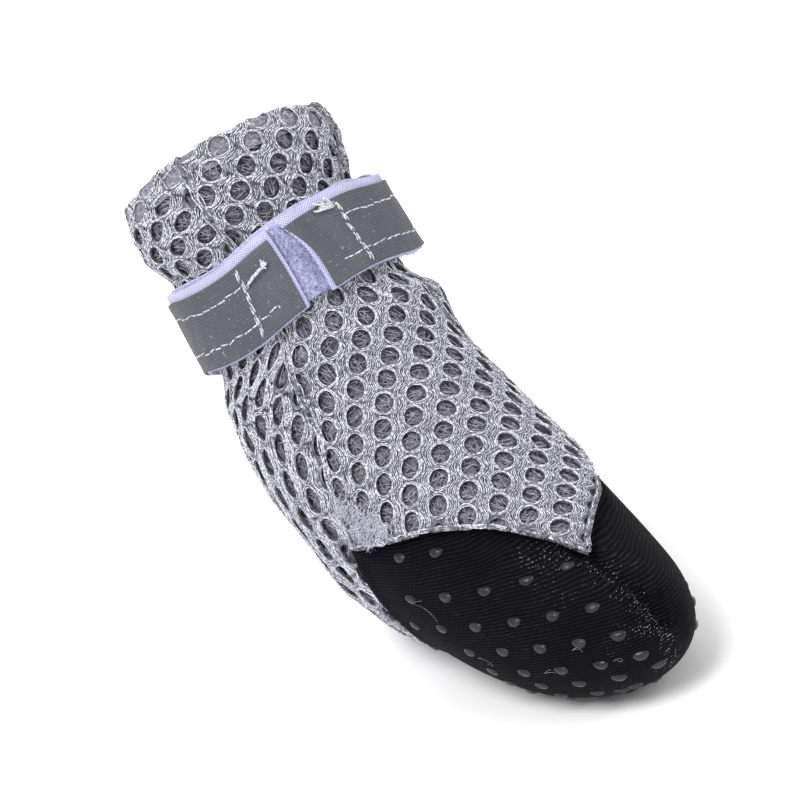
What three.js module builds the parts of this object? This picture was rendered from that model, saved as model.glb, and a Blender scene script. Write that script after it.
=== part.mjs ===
// A dog boot: a mesh sock with a knitted anti-slip sole pouch and a hook-and-loop ankle strap.
// Millimetres, +Z up. The toe points along -Y and the boot's own right side is -X.
// The boot stands on its sole at z = 0, and the origin is under the middle of its box.
import * as THREE from "three";

// Driving dimensions of the boot.
const FOOT_LENGTH = 115; // toe tip to the back of the heel
const BOOT_HEIGHT = 119; // floor to the front of the collar
const BALL_WIDTH = 50; // across the widest part of the foot
const UPPER_WALL = 2; // air mesh with its lining
const SOLE_WALL = 1.6; // knitted fabric with its grip layer
const CLEARANCE = 0.4; // between curved pieces that touch
const PANEL_STEP = 0.5; // the front panel lies over the back panel
const POINT_LIFT = 0.9; // the front panel's point stands off the toe
const POINT_OVERLAP = 4.5; // how far the pouch runs up under the point
const TOE_SEAM_DEPTH = 0.7;
const TOE_SEAM_REACH = 1.8; // half the width of the toe seam's furrow
const HEM_HEIGHT = 6;
const HEM_STEP = 0.6;
const HEM_ROUND = 1.1; // how far the fold of the hem rounds in at the rim
const RIM_DROP = 3.2; // the rim sits lower at the front of the boot's left side
const RIM_LOW_AT = -55; // degrees
const SEAM_EDGE = 0.35; // half the width of the step at a side seam

// The strap's layers, from the ankle out.
const BAND_THICKNESS = 1.1;
const TAB_THICKNESS = 1.1;
const TAPE_THICKNESS = 0.6;
const STRAP_WIDTH = 18;
const TAPE_INSET = 1.1; // lavender border left beside the tape
const STRAP_PINCH = 2.6; // how far the strap draws the ankle in
const STRAP_STAND_OFF = 3.2; // slack on the boot's left side

// The last: one row for each section, from the toe tip to the collar.
// back and height are shares of the foot's length and the boot's height, halfWidth of the ball width,
// and keel is the share by which a section narrows towards the floor.
const SECTIONS = [
  { name: "toe tip", topBack: -0.01, topHeight: 0.13, bottomBack: -0.01, bottomHeight: 0.13, halfWidth: 0, keel: 0 },
  { name: "toe nose", topBack: -0.003, topHeight: 0.165, bottomBack: 0.002, bottomHeight: 0.097, halfWidth: 0.1, keel: 0 },
  { name: "toe curve", topBack: 0.017, topHeight: 0.191, bottomBack: 0.032, bottomHeight: 0.063, halfWidth: 0.175, keel: 0 },
  { name: "toe box", topBack: 0.05, topHeight: 0.214, bottomBack: 0.073, bottomHeight: 0.034, halfWidth: 0.242, keel: 0 },
  { name: "toe root", topBack: 0.117, topHeight: 0.24, bottomBack: 0.15, bottomHeight: 0.006, halfWidth: 0.332, keel: 0 },
  { name: "forefoot", topBack: 0.206, topHeight: 0.271, bottomBack: 0.248, bottomHeight: -0.009, halfWidth: 0.406, keel: 0 },
  { name: "ball", topBack: 0.304, topHeight: 0.326, bottomBack: 0.374, bottomHeight: -0.008, halfWidth: 0.462, keel: 0.04 },
  { name: "arch", topBack: 0.4, topHeight: 0.403, bottomBack: 0.522, bottomHeight: 0.004, halfWidth: 0.498, keel: 0.1 },
  { name: "instep", topBack: 0.487, topHeight: 0.482, bottomBack: 0.68, bottomHeight: -0.012, halfWidth: 0.522, keel: 0.2 },
  { name: "heel seat", topBack: 0.558, topHeight: 0.55, bottomBack: 0.828, bottomHeight: 0.046, halfWidth: 0.534, keel: 0.26 },
  { name: "heel back", topBack: 0.612, topHeight: 0.618, bottomBack: 0.922, bottomHeight: 0.215, halfWidth: 0.52, keel: 0.08 },
  { name: "ankle", topBack: 0.643, topHeight: 0.701, bottomBack: 0.968, bottomHeight: 0.4, halfWidth: 0.486, keel: 0 },
  { name: "strap", topBack: 0.677, topHeight: 0.795, bottomBack: 1.026, bottomHeight: 0.555, halfWidth: 0.47, keel: 0 },
  { name: "shaft", topBack: 0.722, topHeight: 0.9, bottomBack: 1.063, bottomHeight: 0.71, halfWidth: 0.47, keel: 0 },
  { name: "collar", topBack: 0.768, topHeight: 0.998, bottomBack: 1.086, bottomHeight: 0.858, halfWidth: 0.43, keel: 0 },
];
const SECTION_COLUMNS = ["topBack", "topHeight", "bottomBack", "bottomHeight", "halfWidth", "keel"];
const SIDE_ROUNDNESS = 0.92;
const COLLAR = SECTIONS.length - 1;
const SECTION_PITCH = 12; // mean distance between sections along the foot

// Where the mesh ends and the pouch shows: the section at each angle round the foot.
// Angles are in degrees from the top: right and left are the boot's own sides.
const POUCH_EDGE = [
  { angle: 0, right: 4.46, left: 4.46 },
  { angle: 5, right: 5.1, left: 4.75 },
  { angle: 20, right: 5.96, left: 5.22 },
  { angle: 37, right: 6.56, left: 5.68 },
  { angle: 52, right: 7.02, left: 6.34 },
  { angle: 63, right: 7.4, left: 7.0 },
  { angle: 76, right: 8.02, left: 7.95 },
  { angle: 90, right: 7.71, left: 7.71 },
  { angle: 109, right: 7.26, left: 7.26 },
  { angle: 140, right: 6.98, left: 6.98 },
  { angle: 180, right: 6.9, left: 6.9 },
];

// The side seams between the front and the back panel, from the pouch's edge (0) to the collar (1).
const SIDE_SEAM = [
  { share: 0, angle: 76 },
  { share: 0.07, angle: 62 },
  { share: 0.2, angle: 46 },
  { share: 0.42, angle: 41 },
  { share: 0.7, angle: 42 },
  { share: 1, angle: 44 },
];

// Soft folds of the mesh: a ridge (height > 0) or a trough, round the foot at a section.
const FOLDS = [
  { name: "roll under the strap", section: 10.45, thick: 0.3, angle: 60, reach: 75, height: 1.0 },
  { name: "heel crease", section: 9.55, thick: 0.28, angle: 135, reach: 50, height: -0.9 },
  { name: "heel roll", section: 8.9, thick: 0.32, angle: 150, reach: 60, height: 0.8 },
  { name: "tendon crease", section: 10.0, thick: 0.25, angle: -140, reach: 55, height: -0.8 },
  { name: "left roll", section: 10.4, thick: 0.4, angle: -65, reach: 60, height: 1.5 },
  { name: "collar swell", section: 13.1, thick: 0.6, angle: 120, reach: 90, height: 0.7 },
];

// The strap's middle in sections of the last: it climbs a little towards the back.
const STRAP_FRONT = 11.6;
const STRAP_CLIMB = 0.45;
// Its two tabs, in degrees round the ankle.
const TABS = [
  { side: "right", from: 22, to: 174, endLift: 0.3 },
  { side: "left", from: 8, to: -174, endLift: 1.8 },
];
const END_CURL = 14; // degrees over which a tab's free end lifts
const TAPE_END_INSET = 3; // degrees of tab left bare at its free end

// Fineness of the surfaces.
const FRONT_COLUMNS = 22;
const BACK_COLUMNS = 26;
const UPPER_ROWS = 27;
const ROW_CROWDING = 1.18; // rows lie a little closer towards the collar
const POUCH_COLUMNS = 44;
const POUCH_ROWS = 15;
const BAND_COLUMNS = 48;

const radians = THREE.MathUtils.degToRad;
const { smoothstep, clamp, lerp } = THREE.MathUtils;

// Catmull-Rom value at a place between the rows of a list of numbers.
function along(values, place) {
  const last = values.length - 1;
  const i = Math.min(Math.floor(place), last - 1);
  const t = place - i;
  const b = values[i];
  const c = values[i + 1];
  const a = i > 0 ? values[i - 1] : 2 * b - c;
  const d = i + 2 <= last ? values[i + 2] : 2 * c - b;
  return b + 0.5 * t * (c - a + t * (2 * a - 5 * b + 4 * c - d + t * (3 * (b - c) + d - a)));
}

// Straight-line value in a table with a sorted key column.
function lookUp(table, key, column, at) {
  const next = table.findIndex((row) => row[key] >= at);
  if (next < 0) return table[table.length - 1][column];
  if (next === 0) return table[0][column];
  const low = table[next - 1];
  const high = table[next];
  return lerp(low[column], high[column], (at - low[key]) / (high[key] - low[key]));
}

const COLUMN_VALUES = Object.fromEntries(
  SECTION_COLUMNS.map((column) => [column, SECTIONS.map((section) => section[column])]),
);

// The last's surface, before any relief: back is measured from the toe tip.
function lastPoint(section, angle) {
  const at = (column) => along(COLUMN_VALUES[column], clamp(section, 0, COLLAR));
  const up = (1 + Math.cos(angle)) / 2;
  const side = Math.sin(angle);
  const back = lerp(at("bottomBack"), at("topBack"), up) * FOOT_LENGTH;
  const height = lerp(at("bottomHeight"), at("topHeight"), up) * BOOT_HEIGHT;
  const narrowing = 1 - at("keel") * (1 - up) ** 2;
  const reach = at("halfWidth") * BALL_WIDTH * narrowing * Math.sign(side) * Math.abs(side) ** SIDE_ROUNDNESS;
  return new THREE.Vector3(-reach, back, height);
}

// A point at a distance outside (or, below zero, inside) the last, never under the floor.
function skinPoint(section, angle, distance) {
  const step = 0.02;
  const here = lastPoint(section, angle);
  const ahead = clamp(section, step, COLLAR - step);
  const forward = lastPoint(ahead + step, angle).sub(lastPoint(ahead - step, angle));
  const round = lastPoint(ahead, angle + step).sub(lastPoint(ahead, angle - step));
  const normal = forward.cross(round).normalize();
  if (section < step) normal.set(0, -1, 0);
  here.addScaledVector(normal, distance);
  here.z = Math.max(here.z, Math.max(0, -distance));
  return here;
}

const wrapped = (degrees) => ((degrees + 540) % 360) - 180;

function pouchEdge(degrees) {
  const turn = wrapped(degrees);
  return lookUp(POUCH_EDGE, "angle", turn >= 0 ? "right" : "left", Math.abs(turn));
}

// 1 under the front panel's point, 0 behind the side seams.
const pointShare = (degrees) => 1 - smoothstep(Math.abs(wrapped(degrees)), 66, 76);

// The front panel rises where it runs out over the toe.
const pointLift = (section, degrees) => POINT_LIFT * pointShare(degrees) * (1 - smoothstep(section, 6.4, 9));

function foldRelief(section, degrees) {
  return FOLDS.reduce((sum, fold) => {
    const away = (section - fold.section) / fold.thick;
    const turn = wrapped(degrees - fold.angle) / fold.reach;
    const round = Math.abs(turn) < 1 ? Math.cos((turn * Math.PI) / 2) ** 2 : 0;
    return sum + fold.height * round * Math.exp(-away * away);
  }, 0);
}

const strapMiddle = (degrees) => STRAP_FRONT + STRAP_CLIMB * smoothstep(Math.abs(wrapped(degrees)), 40, 120);

// Sections to a millimetre along the shaft under the strap.
function sectionsPerMillimetre(degrees) {
  const middle = strapMiddle(degrees);
  const angle = radians(degrees);
  return 1 / lastPoint(middle + 0.5, angle).distanceTo(lastPoint(middle - 0.5, angle));
}

// How far the strap draws the mesh in, at a section.
function strapPinch(section, degrees) {
  const away = Math.abs(section - strapMiddle(degrees)) / sectionsPerMillimetre(degrees);
  return STRAP_PINCH * (1 - smoothstep(away, STRAP_WIDTH / 2 + 1, STRAP_WIDTH / 2 + 9));
}

// Where the collar ends, in sections: its rim is not quite level.
function rimSection(degrees) {
  const low = (1 + Math.cos(radians(degrees - RIM_LOW_AT))) / 2;
  return COLLAR - (RIM_DROP * low) / SECTION_PITCH;
}

// The doubled hem at the collar stands a step off the shaft.
function hemRelief(section, degrees) {
  const fromRim = (rimSection(degrees) - section) * SECTION_PITCH;
  const round = HEM_ROUND * (1 - clamp(fromRim / HEM_ROUND, 0, 1)) ** 2;
  return HEM_STEP * (1 - smoothstep(fromRim, HEM_HEIGHT - 0.5, HEM_HEIGHT + 1)) - round;
}

// The mesh's outside, measured from the last. The strap flattens what lies under it.
function upperRelief(section, degrees, panel) {
  const pinch = strapPinch(section, degrees);
  const slack = 1 - pinch / STRAP_PINCH;
  return slack * (foldRelief(section, degrees) + panel + pointLift(section, degrees)) - pinch + hemRelief(section, degrees);
}

// Triangles of a closed body from rings of points: each ring has the same number of points.
function ringBody(rings, { closed, startPole, endPole }) {
  const positions = [];
  const triangles = [];
  rings.forEach((ring) => ring.forEach((p) => positions.push(p.x, p.y, p.z)));
  const count = rings[0].length;
  const index = (ring, column) => ring * count + (column % count);
  const last = closed ? rings.length : rings.length - 1;
  for (let r = 0; r < last; r++) {
    const next = (r + 1) % rings.length;
    for (let c = 0; c < count; c++) {
      triangles.push(index(r, c), index(r, c + 1), index(next, c + 1));
      triangles.push(index(r, c), index(next, c + 1), index(next, c));
    }
  }
  [startPole, endPole].forEach((pole, atEnd) => {
    if (!pole) return;
    const tip = positions.length / 3;
    positions.push(pole.x, pole.y, pole.z);
    const ring = atEnd ? rings.length - 1 : 0;
    for (let c = 0; c < count; c++)
      triangles.push(tip, index(ring, atEnd ? c : c + 1), index(ring, atEnd ? c + 1 : c));
  });
  const geometry = new THREE.BufferGeometry();
  geometry.setAttribute("position", new THREE.Float32BufferAttribute(positions, 3));
  geometry.setIndex(triangles);
  return facingOut(geometry);
}

// Turns a closed body's faces round where they point inwards.
function facingOut(geometry) {
  const p = geometry.attributes.position;
  const index = geometry.index.array;
  const [a, b, c] = [new THREE.Vector3(), new THREE.Vector3(), new THREE.Vector3()];
  let volume = 0;
  for (let i = 0; i < index.length; i += 3) {
    a.fromBufferAttribute(p, index[i]);
    b.fromBufferAttribute(p, index[i + 1]);
    c.fromBufferAttribute(p, index[i + 2]);
    volume += a.dot(b.cross(c));
  }
  if (volume < 0)
    for (let i = 0; i < index.length; i += 3) [index[i + 1], index[i + 2]] = [index[i + 2], index[i + 1]];
  return geometry;
}

// The upper: one hollow wall from the pouch's edge to the collar.
function upperColumns(share) {
  const seam = lookUp(SIDE_SEAM, "share", "angle", share);
  const edge = THREE.MathUtils.radToDeg(SEAM_EDGE / (BALL_WIDTH / 2));
  const front = Array.from({ length: FRONT_COLUMNS + 1 }, (_, i) => ({
    degrees: lerp(-seam + edge, seam - edge, i / FRONT_COLUMNS),
    root: lerp(-SIDE_SEAM[0].angle + edge, SIDE_SEAM[0].angle - edge, i / FRONT_COLUMNS),
    inFront: true,
  }));
  const back = Array.from({ length: BACK_COLUMNS + 1 }, (_, i) => ({
    degrees: lerp(seam + edge, 360 - seam - edge, i / BACK_COLUMNS),
    root: lerp(SIDE_SEAM[0].angle + edge, 360 - SIDE_SEAM[0].angle - edge, i / BACK_COLUMNS),
    inFront: false,
  }));
  return [...front, ...back];
}

function upperRing(share, inside) {
  return upperColumns(share).map(({ degrees, root, inFront }) => {
    const section = lerp(pouchEdge(root), rimSection(degrees), share);
    const panel = inFront ? PANEL_STEP * (inside ? pointOnly(section) : 1) : 0;
    const outside = upperRelief(section, degrees, panel);
    const lining = outside - UPPER_WALL - 2 * Math.min(0, hemRelief(section, degrees));
    return skinPoint(section, radians(degrees), inside ? lining : outside);
  });
}

// The lining follows the front panel only where the panel's point lies over the toe.
const pointOnly = (section) => 1 - smoothstep(section, 8.2, 9.5);

function makeUpper() {
  const shares = Array.from({ length: UPPER_ROWS + 1 }, (_, i) => 1 - (1 - i / UPPER_ROWS) ** ROW_CROWDING);
  const outer = shares.map((share) => upperRing(share, false));
  const inner = shares.map((share) => upperRing(share, true)).reverse();
  return ringBody([...outer, ...inner], { closed: true });
}

// The sole: a knitted pouch round the toe and forefoot, closed at the toe.
function pouchDip(section, degrees) {
  const depth = UPPER_WALL + CLEARANCE - PANEL_STEP - pointLift(section, degrees);
  const toEdge = (pouchEdge(degrees) - section) * SECTION_PITCH;
  return depth * pointShare(degrees) * (1 - smoothstep(toEdge, 0.6, 7));
}

// The puckered seam down the middle of the toe draws the knit in.
function toeSeamDepth(section, angle) {
  const across = lastPoint(section, angle).x / TOE_SEAM_REACH;
  const onTop = smoothstep(Math.cos(angle), 0, 0.4) * smoothstep(section, 0.3, 1.2);
  return TOE_SEAM_DEPTH * onTop * Math.exp(-across * across);
}

function pouchEnd(degrees) {
  const turn = Math.abs(wrapped(degrees));
  const under = 1 - smoothstep(turn, 50, 62);
  return pouchEdge(degrees) + (under * (POINT_OVERLAP + CLEARANCE) - CLEARANCE) / SECTION_PITCH;
}

function pouchRing(share, inside) {
  return Array.from({ length: POUCH_COLUMNS }, (_, i) => {
    const degrees = (i * 360) / POUCH_COLUMNS;
    const section = pouchEnd(degrees) * share ** 1.15;
    const outside = -pouchDip(section, degrees) - toeSeamDepth(section, radians(degrees));
    return skinPoint(section, radians(degrees), inside ? outside - SOLE_WALL : outside);
  });
}

function makeSole() {
  const shares = Array.from({ length: POUCH_ROWS }, (_, i) => (i + 1) / POUCH_ROWS);
  const outer = shares.map((share) => pouchRing(share, false));
  const inner = shares.map((share) => pouchRing(share, true)).reverse();
  return ringBody([...outer, ...inner], {
    startPole: skinPoint(0, 0, 0),
    endPole: skinPoint(0, 0, -SOLE_WALL),
  });
}

// The strap's inside, measured from the last: snug at the front, slack on the boot's left.
function strapInside(degrees) {
  const turn = wrapped(degrees);
  const slack = smoothstep(-turn, 25, 75) * (1 - smoothstep(-turn, 120, 165));
  return -STRAP_PINCH + CLEARANCE + STRAP_STAND_OFF * slack;
}

function strapEdges(degrees, inset) {
  const middle = strapMiddle(degrees);
  const half = (STRAP_WIDTH / 2 - inset) * sectionsPerMillimetre(degrees);
  return [middle - half, middle, middle + half];
}

// A ring or a length of strap between two distances from the last.
function strapBody({ degreesAt, inset, inside, thickness, loop }) {
  const ringAt = (degrees) => {
    const [low, middle, high] = strapEdges(degrees, inset);
    const near = inside(degrees);
    const point = (section, distance) => skinPoint(section, radians(degrees), distance);
    return [
      point(low, near),
      point(middle, near),
      point(high, near),
      point(high, near + thickness),
      point(middle, near + thickness),
      point(low, near + thickness),
    ];
  };
  const rings = degreesAt.map(ringAt);
  if (loop) return ringBody(rings, { closed: true });
  const centre = (ring) =>
    ring.reduce((sum, p) => sum.add(p), new THREE.Vector3()).divideScalar(ring.length);
  return ringBody(rings, { startPole: centre(rings[0]), endPole: centre(rings[rings.length - 1]) });
}

function makeBand() {
  const degreesAt = Array.from({ length: BAND_COLUMNS }, (_, i) => (i * 360) / BAND_COLUMNS);
  return strapBody({ degreesAt, inset: 0, inside: strapInside, thickness: BAND_THICKNESS, loop: true });
}

// A tab lies on the band, and its free end lifts off it.
function tabInside(tab, degrees) {
  const fromEnd = Math.abs(degrees - tab.from);
  const curl = (1 - smoothstep(fromEnd, 0, END_CURL)) * tab.endLift;
  return strapInside(degrees) + BAND_THICKNESS + CLEARANCE + curl;
}

function tabDegrees(from, to) {
  const steps = Math.round((Math.abs(to - from) / 360) * BAND_COLUMNS);
  return Array.from({ length: steps + 1 }, (_, i) => lerp(from, to, i / steps));
}

function makeTab(tab) {
  return strapBody({
    degreesAt: tabDegrees(tab.from, tab.to),
    inset: 0,
    inside: (degrees) => tabInside(tab, degrees),
    thickness: TAB_THICKNESS,
  });
}

function makeTape(tab) {
  const away = Math.sign(tab.to - tab.from) * TAPE_END_INSET;
  return strapBody({
    degreesAt: tabDegrees(tab.from + away, tab.to - away),
    inset: TAPE_INSET,
    inside: (degrees) => tabInside(tab, degrees) + TAB_THICKNESS + CLEARANCE,
    thickness: TAPE_THICKNESS,
  });
}

const MESH_GREY = new THREE.MeshStandardMaterial({ color: "#b9bbc6", roughness: 0.75, metalness: 0 });
const BLACK_KNIT = new THREE.MeshStandardMaterial({ color: "#17171c", roughness: 0.85, metalness: 0 });
const LAVENDER_LOOP = new THREE.MeshStandardMaterial({ color: "#c3c4e6", roughness: 0.95, metalness: 0 });
const REFLECTIVE_GREY = new THREE.MeshStandardMaterial({ color: "#7b7e86", roughness: 0.45, metalness: 0.2 });

function named(name, geometry, material) {
  const mesh = new THREE.Mesh(geometry, material);
  mesh.name = name;
  return mesh;
}

const boot = new THREE.Group();
boot.add(named("upper", makeUpper(), MESH_GREY));
boot.add(named("sole", makeSole(), BLACK_KNIT));
boot.add(named("strap_loop_band", makeBand(), LAVENDER_LOOP));
TABS.forEach((tab) => {
  boot.add(named(`strap_tab_${tab.side}`, makeTab(tab), LAVENDER_LOOP));
  boot.add(named(`reflective_tape_${tab.side}`, makeTape(tab), REFLECTIVE_GREY));
});

// The box's middle goes over the origin.
const box = new THREE.Box3().setFromObject(boot);
boot.position.set(-(box.min.x + box.max.x) / 2, -(box.min.y + box.max.y) / 2, -box.min.z);

export default boot;
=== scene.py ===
"""Looks of the dog boot: an air-mesh sock with a black knitted grip pouch and a hook-and-loop strap.

Lengths in the classes are millimetres in the last's own frame (x across, y back from the toe, z up).
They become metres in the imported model's frame when a piece is made.
"""

from __future__ import annotations

import logging
import math
from dataclasses import dataclass, field
from enum import Enum
from functools import cache, partial
from typing import Callable, Sequence

import bpy
import numpy as np
from mathutils import Matrix, Vector

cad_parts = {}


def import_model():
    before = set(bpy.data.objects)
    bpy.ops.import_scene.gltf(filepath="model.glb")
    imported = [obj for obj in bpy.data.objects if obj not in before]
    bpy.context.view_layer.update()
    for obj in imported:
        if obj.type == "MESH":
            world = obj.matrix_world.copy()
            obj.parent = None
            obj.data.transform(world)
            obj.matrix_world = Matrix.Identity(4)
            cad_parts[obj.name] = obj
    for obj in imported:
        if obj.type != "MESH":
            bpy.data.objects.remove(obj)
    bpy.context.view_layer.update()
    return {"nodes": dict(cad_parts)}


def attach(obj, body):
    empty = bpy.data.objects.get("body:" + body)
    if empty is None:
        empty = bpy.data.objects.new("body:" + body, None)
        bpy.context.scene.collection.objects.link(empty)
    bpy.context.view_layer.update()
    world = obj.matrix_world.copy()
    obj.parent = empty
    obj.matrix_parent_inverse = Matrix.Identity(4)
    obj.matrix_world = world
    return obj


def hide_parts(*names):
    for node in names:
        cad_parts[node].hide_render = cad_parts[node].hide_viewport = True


LOG = logging.getLogger("dog_boot")
MM = 0.001
BODY = "root"
Array = np.ndarray
Colour = tuple[float, float, float]


def tone(red: float, green: float, blue: float) -> Colour:
    """A colour given in screen values from 0 to 255, as scene-linear values.

    Args:
        red: Red part.
        green: Green part.
        blue: Blue part.

    Returns:
        The three linear parts.
    """

    def linear(part: float) -> float:
        """One part of the colour, made linear."""
        share = part / 255
        return share / 12.92 if share <= 0.04045 else ((share + 0.055) / 1.055) ** 2.4

    return linear(red), linear(green), linear(blue)


def smooth(value: Array, low: float, high: float) -> Array:
    """The soft step from 0 at low to 1 at high."""
    share = np.clip((np.asarray(value, float) - low) / (high - low), 0, 1)
    return share * share * (3 - 2 * share)


def wrapped(degrees: Array) -> Array:
    """Degrees brought to the range from -180 to 180."""
    return (np.asarray(degrees, float) + 540) % 360 - 180


class Side(Enum):
    """The boot's own sides. Angles round the foot grow towards its right."""

    RIGHT = 1
    LEFT = -1


@dataclass
class Last:
    """The form that the whole boot follows, section by section from the toe tip to the collar."""

    foot_length: float = 115.0
    boot_height: float = 119.0
    ball_width: float = 50.0
    side_roundness: float = 0.92
    shift: tuple[float, float] = (0.0, 0.0)
    # Shares of the sizes above: top back, top height, bottom back, bottom height, half width, keel.
    sections: tuple = (
        (-0.01, 0.13, -0.01, 0.13, 0, 0),
        (-0.003, 0.165, 0.002, 0.097, 0.1, 0),
        (0.017, 0.191, 0.032, 0.063, 0.175, 0),
        (0.05, 0.214, 0.073, 0.034, 0.242, 0),
        (0.117, 0.24, 0.15, 0.006, 0.332, 0),
        (0.206, 0.271, 0.248, -0.009, 0.406, 0),
        (0.304, 0.326, 0.374, -0.008, 0.462, 0.04),
        (0.4, 0.403, 0.522, 0.004, 0.498, 0.1),
        (0.487, 0.482, 0.68, -0.012, 0.522, 0.2),
        (0.558, 0.55, 0.828, 0.046, 0.534, 0.26),
        (0.612, 0.618, 0.922, 0.215, 0.52, 0.08),
        (0.643, 0.701, 0.968, 0.4, 0.486, 0),
        (0.677, 0.795, 1.026, 0.555, 0.47, 0),
        (0.722, 0.9, 1.063, 0.71, 0.47, 0),
        (0.768, 0.998, 1.086, 0.858, 0.43, 0),
    )

    def __post_init__(self) -> None:
        """Adds a row beyond each end, for the curve through the rows."""
        rows = np.array(self.sections, float)
        self.collar = len(rows) - 1
        self.rows = np.vstack([2 * rows[0] - rows[1], rows, 2 * rows[-1] - rows[-2]])

    def point(self, section: Array, angle: Array) -> Array:
        """Points of the last.

        Args:
            section: Place along the foot, in sections.
            angle: Place round the foot, in radians from the top.

        Returns:
            Points in millimetres, one more axis than the inputs.
        """
        section, angle = np.broadcast_arrays(np.asarray(section, float), np.asarray(angle, float))
        at = np.clip(section, 0, self.collar + 0.3)
        row = np.minimum(np.floor(at), self.collar - 1).astype(int)
        t = (at - row)[..., None]
        a, b, c, d = (self.rows[row + k] for k in range(4))
        shape = b + 0.5 * t * (c - a + t * (2 * a - 5 * b + 4 * c - d + t * (3 * (b - c) + d - a)))
        up = (1 + np.cos(angle)) / 2
        side = np.sin(angle)
        back = (shape[..., 2] + (shape[..., 0] - shape[..., 2]) * up) * self.foot_length
        height = (shape[..., 3] + (shape[..., 1] - shape[..., 3]) * up) * self.boot_height
        narrowing = 1 - shape[..., 5] * (1 - up) ** 2
        reach = shape[..., 4] * self.ball_width * narrowing
        reach = reach * np.sign(side) * np.abs(side) ** self.side_roundness
        return np.stack([-reach, back, height], -1)

    def skin(self, section: Array, degrees: Array, distance: Array, floor: float = 0.0) -> Array:
        """Points at a distance outside the last, never under the floor.

        Args:
            section: Place along the foot, in sections.
            degrees: Place round the foot, from the top.
            distance: Millimetres outside the last, or below zero inside it.
            floor: Lowest height that a point may have.

        Returns:
            Points in millimetres.
        """
        step = 0.02
        section, degrees, distance = np.broadcast_arrays(
            np.asarray(section, float), np.asarray(degrees, float), np.asarray(distance, float)
        )
        angle = np.radians(degrees)
        here = self.point(section, angle)
        ahead = np.clip(section, step, self.collar - step)
        forward = self.point(ahead + step, angle) - self.point(ahead - step, angle)
        around = self.point(ahead, angle + step) - self.point(ahead, angle - step)
        normal = np.cross(forward, around)
        normal /= np.linalg.norm(normal, axis=-1, keepdims=True) + 1e-12
        normal[section < step] = (0, -1, 0)
        here = here + normal * distance[..., None]
        here[..., 2] = np.maximum(here[..., 2], np.maximum(floor, -distance))
        return here

    def spacing(self, section: Array, degrees: Array) -> Array:
        """Millimetres from one section to the next, there.

        Args:
            section: Places along the last, in sections.
            degrees: Angles round the section.

        Returns:
            Millimetres at each place.
        """
        angle = np.radians(degrees)
        section = np.clip(section, 0.5, self.collar - 0.5)
        return np.linalg.norm(self.point(section + 0.5, angle) - self.point(section - 0.5, angle), axis=-1)

    def placed(self, points: Array) -> Array:
        """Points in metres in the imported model's frame."""
        return (np.asarray(points, float) + [*self.shift, 0.0]) * MM

    def laid(self, section: Array, degrees: Array, distance: Array, floor: float = 0.0) -> Array:
        """The skin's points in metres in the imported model's frame."""
        return self.placed(self.skin(section, degrees, distance, floor))


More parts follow.
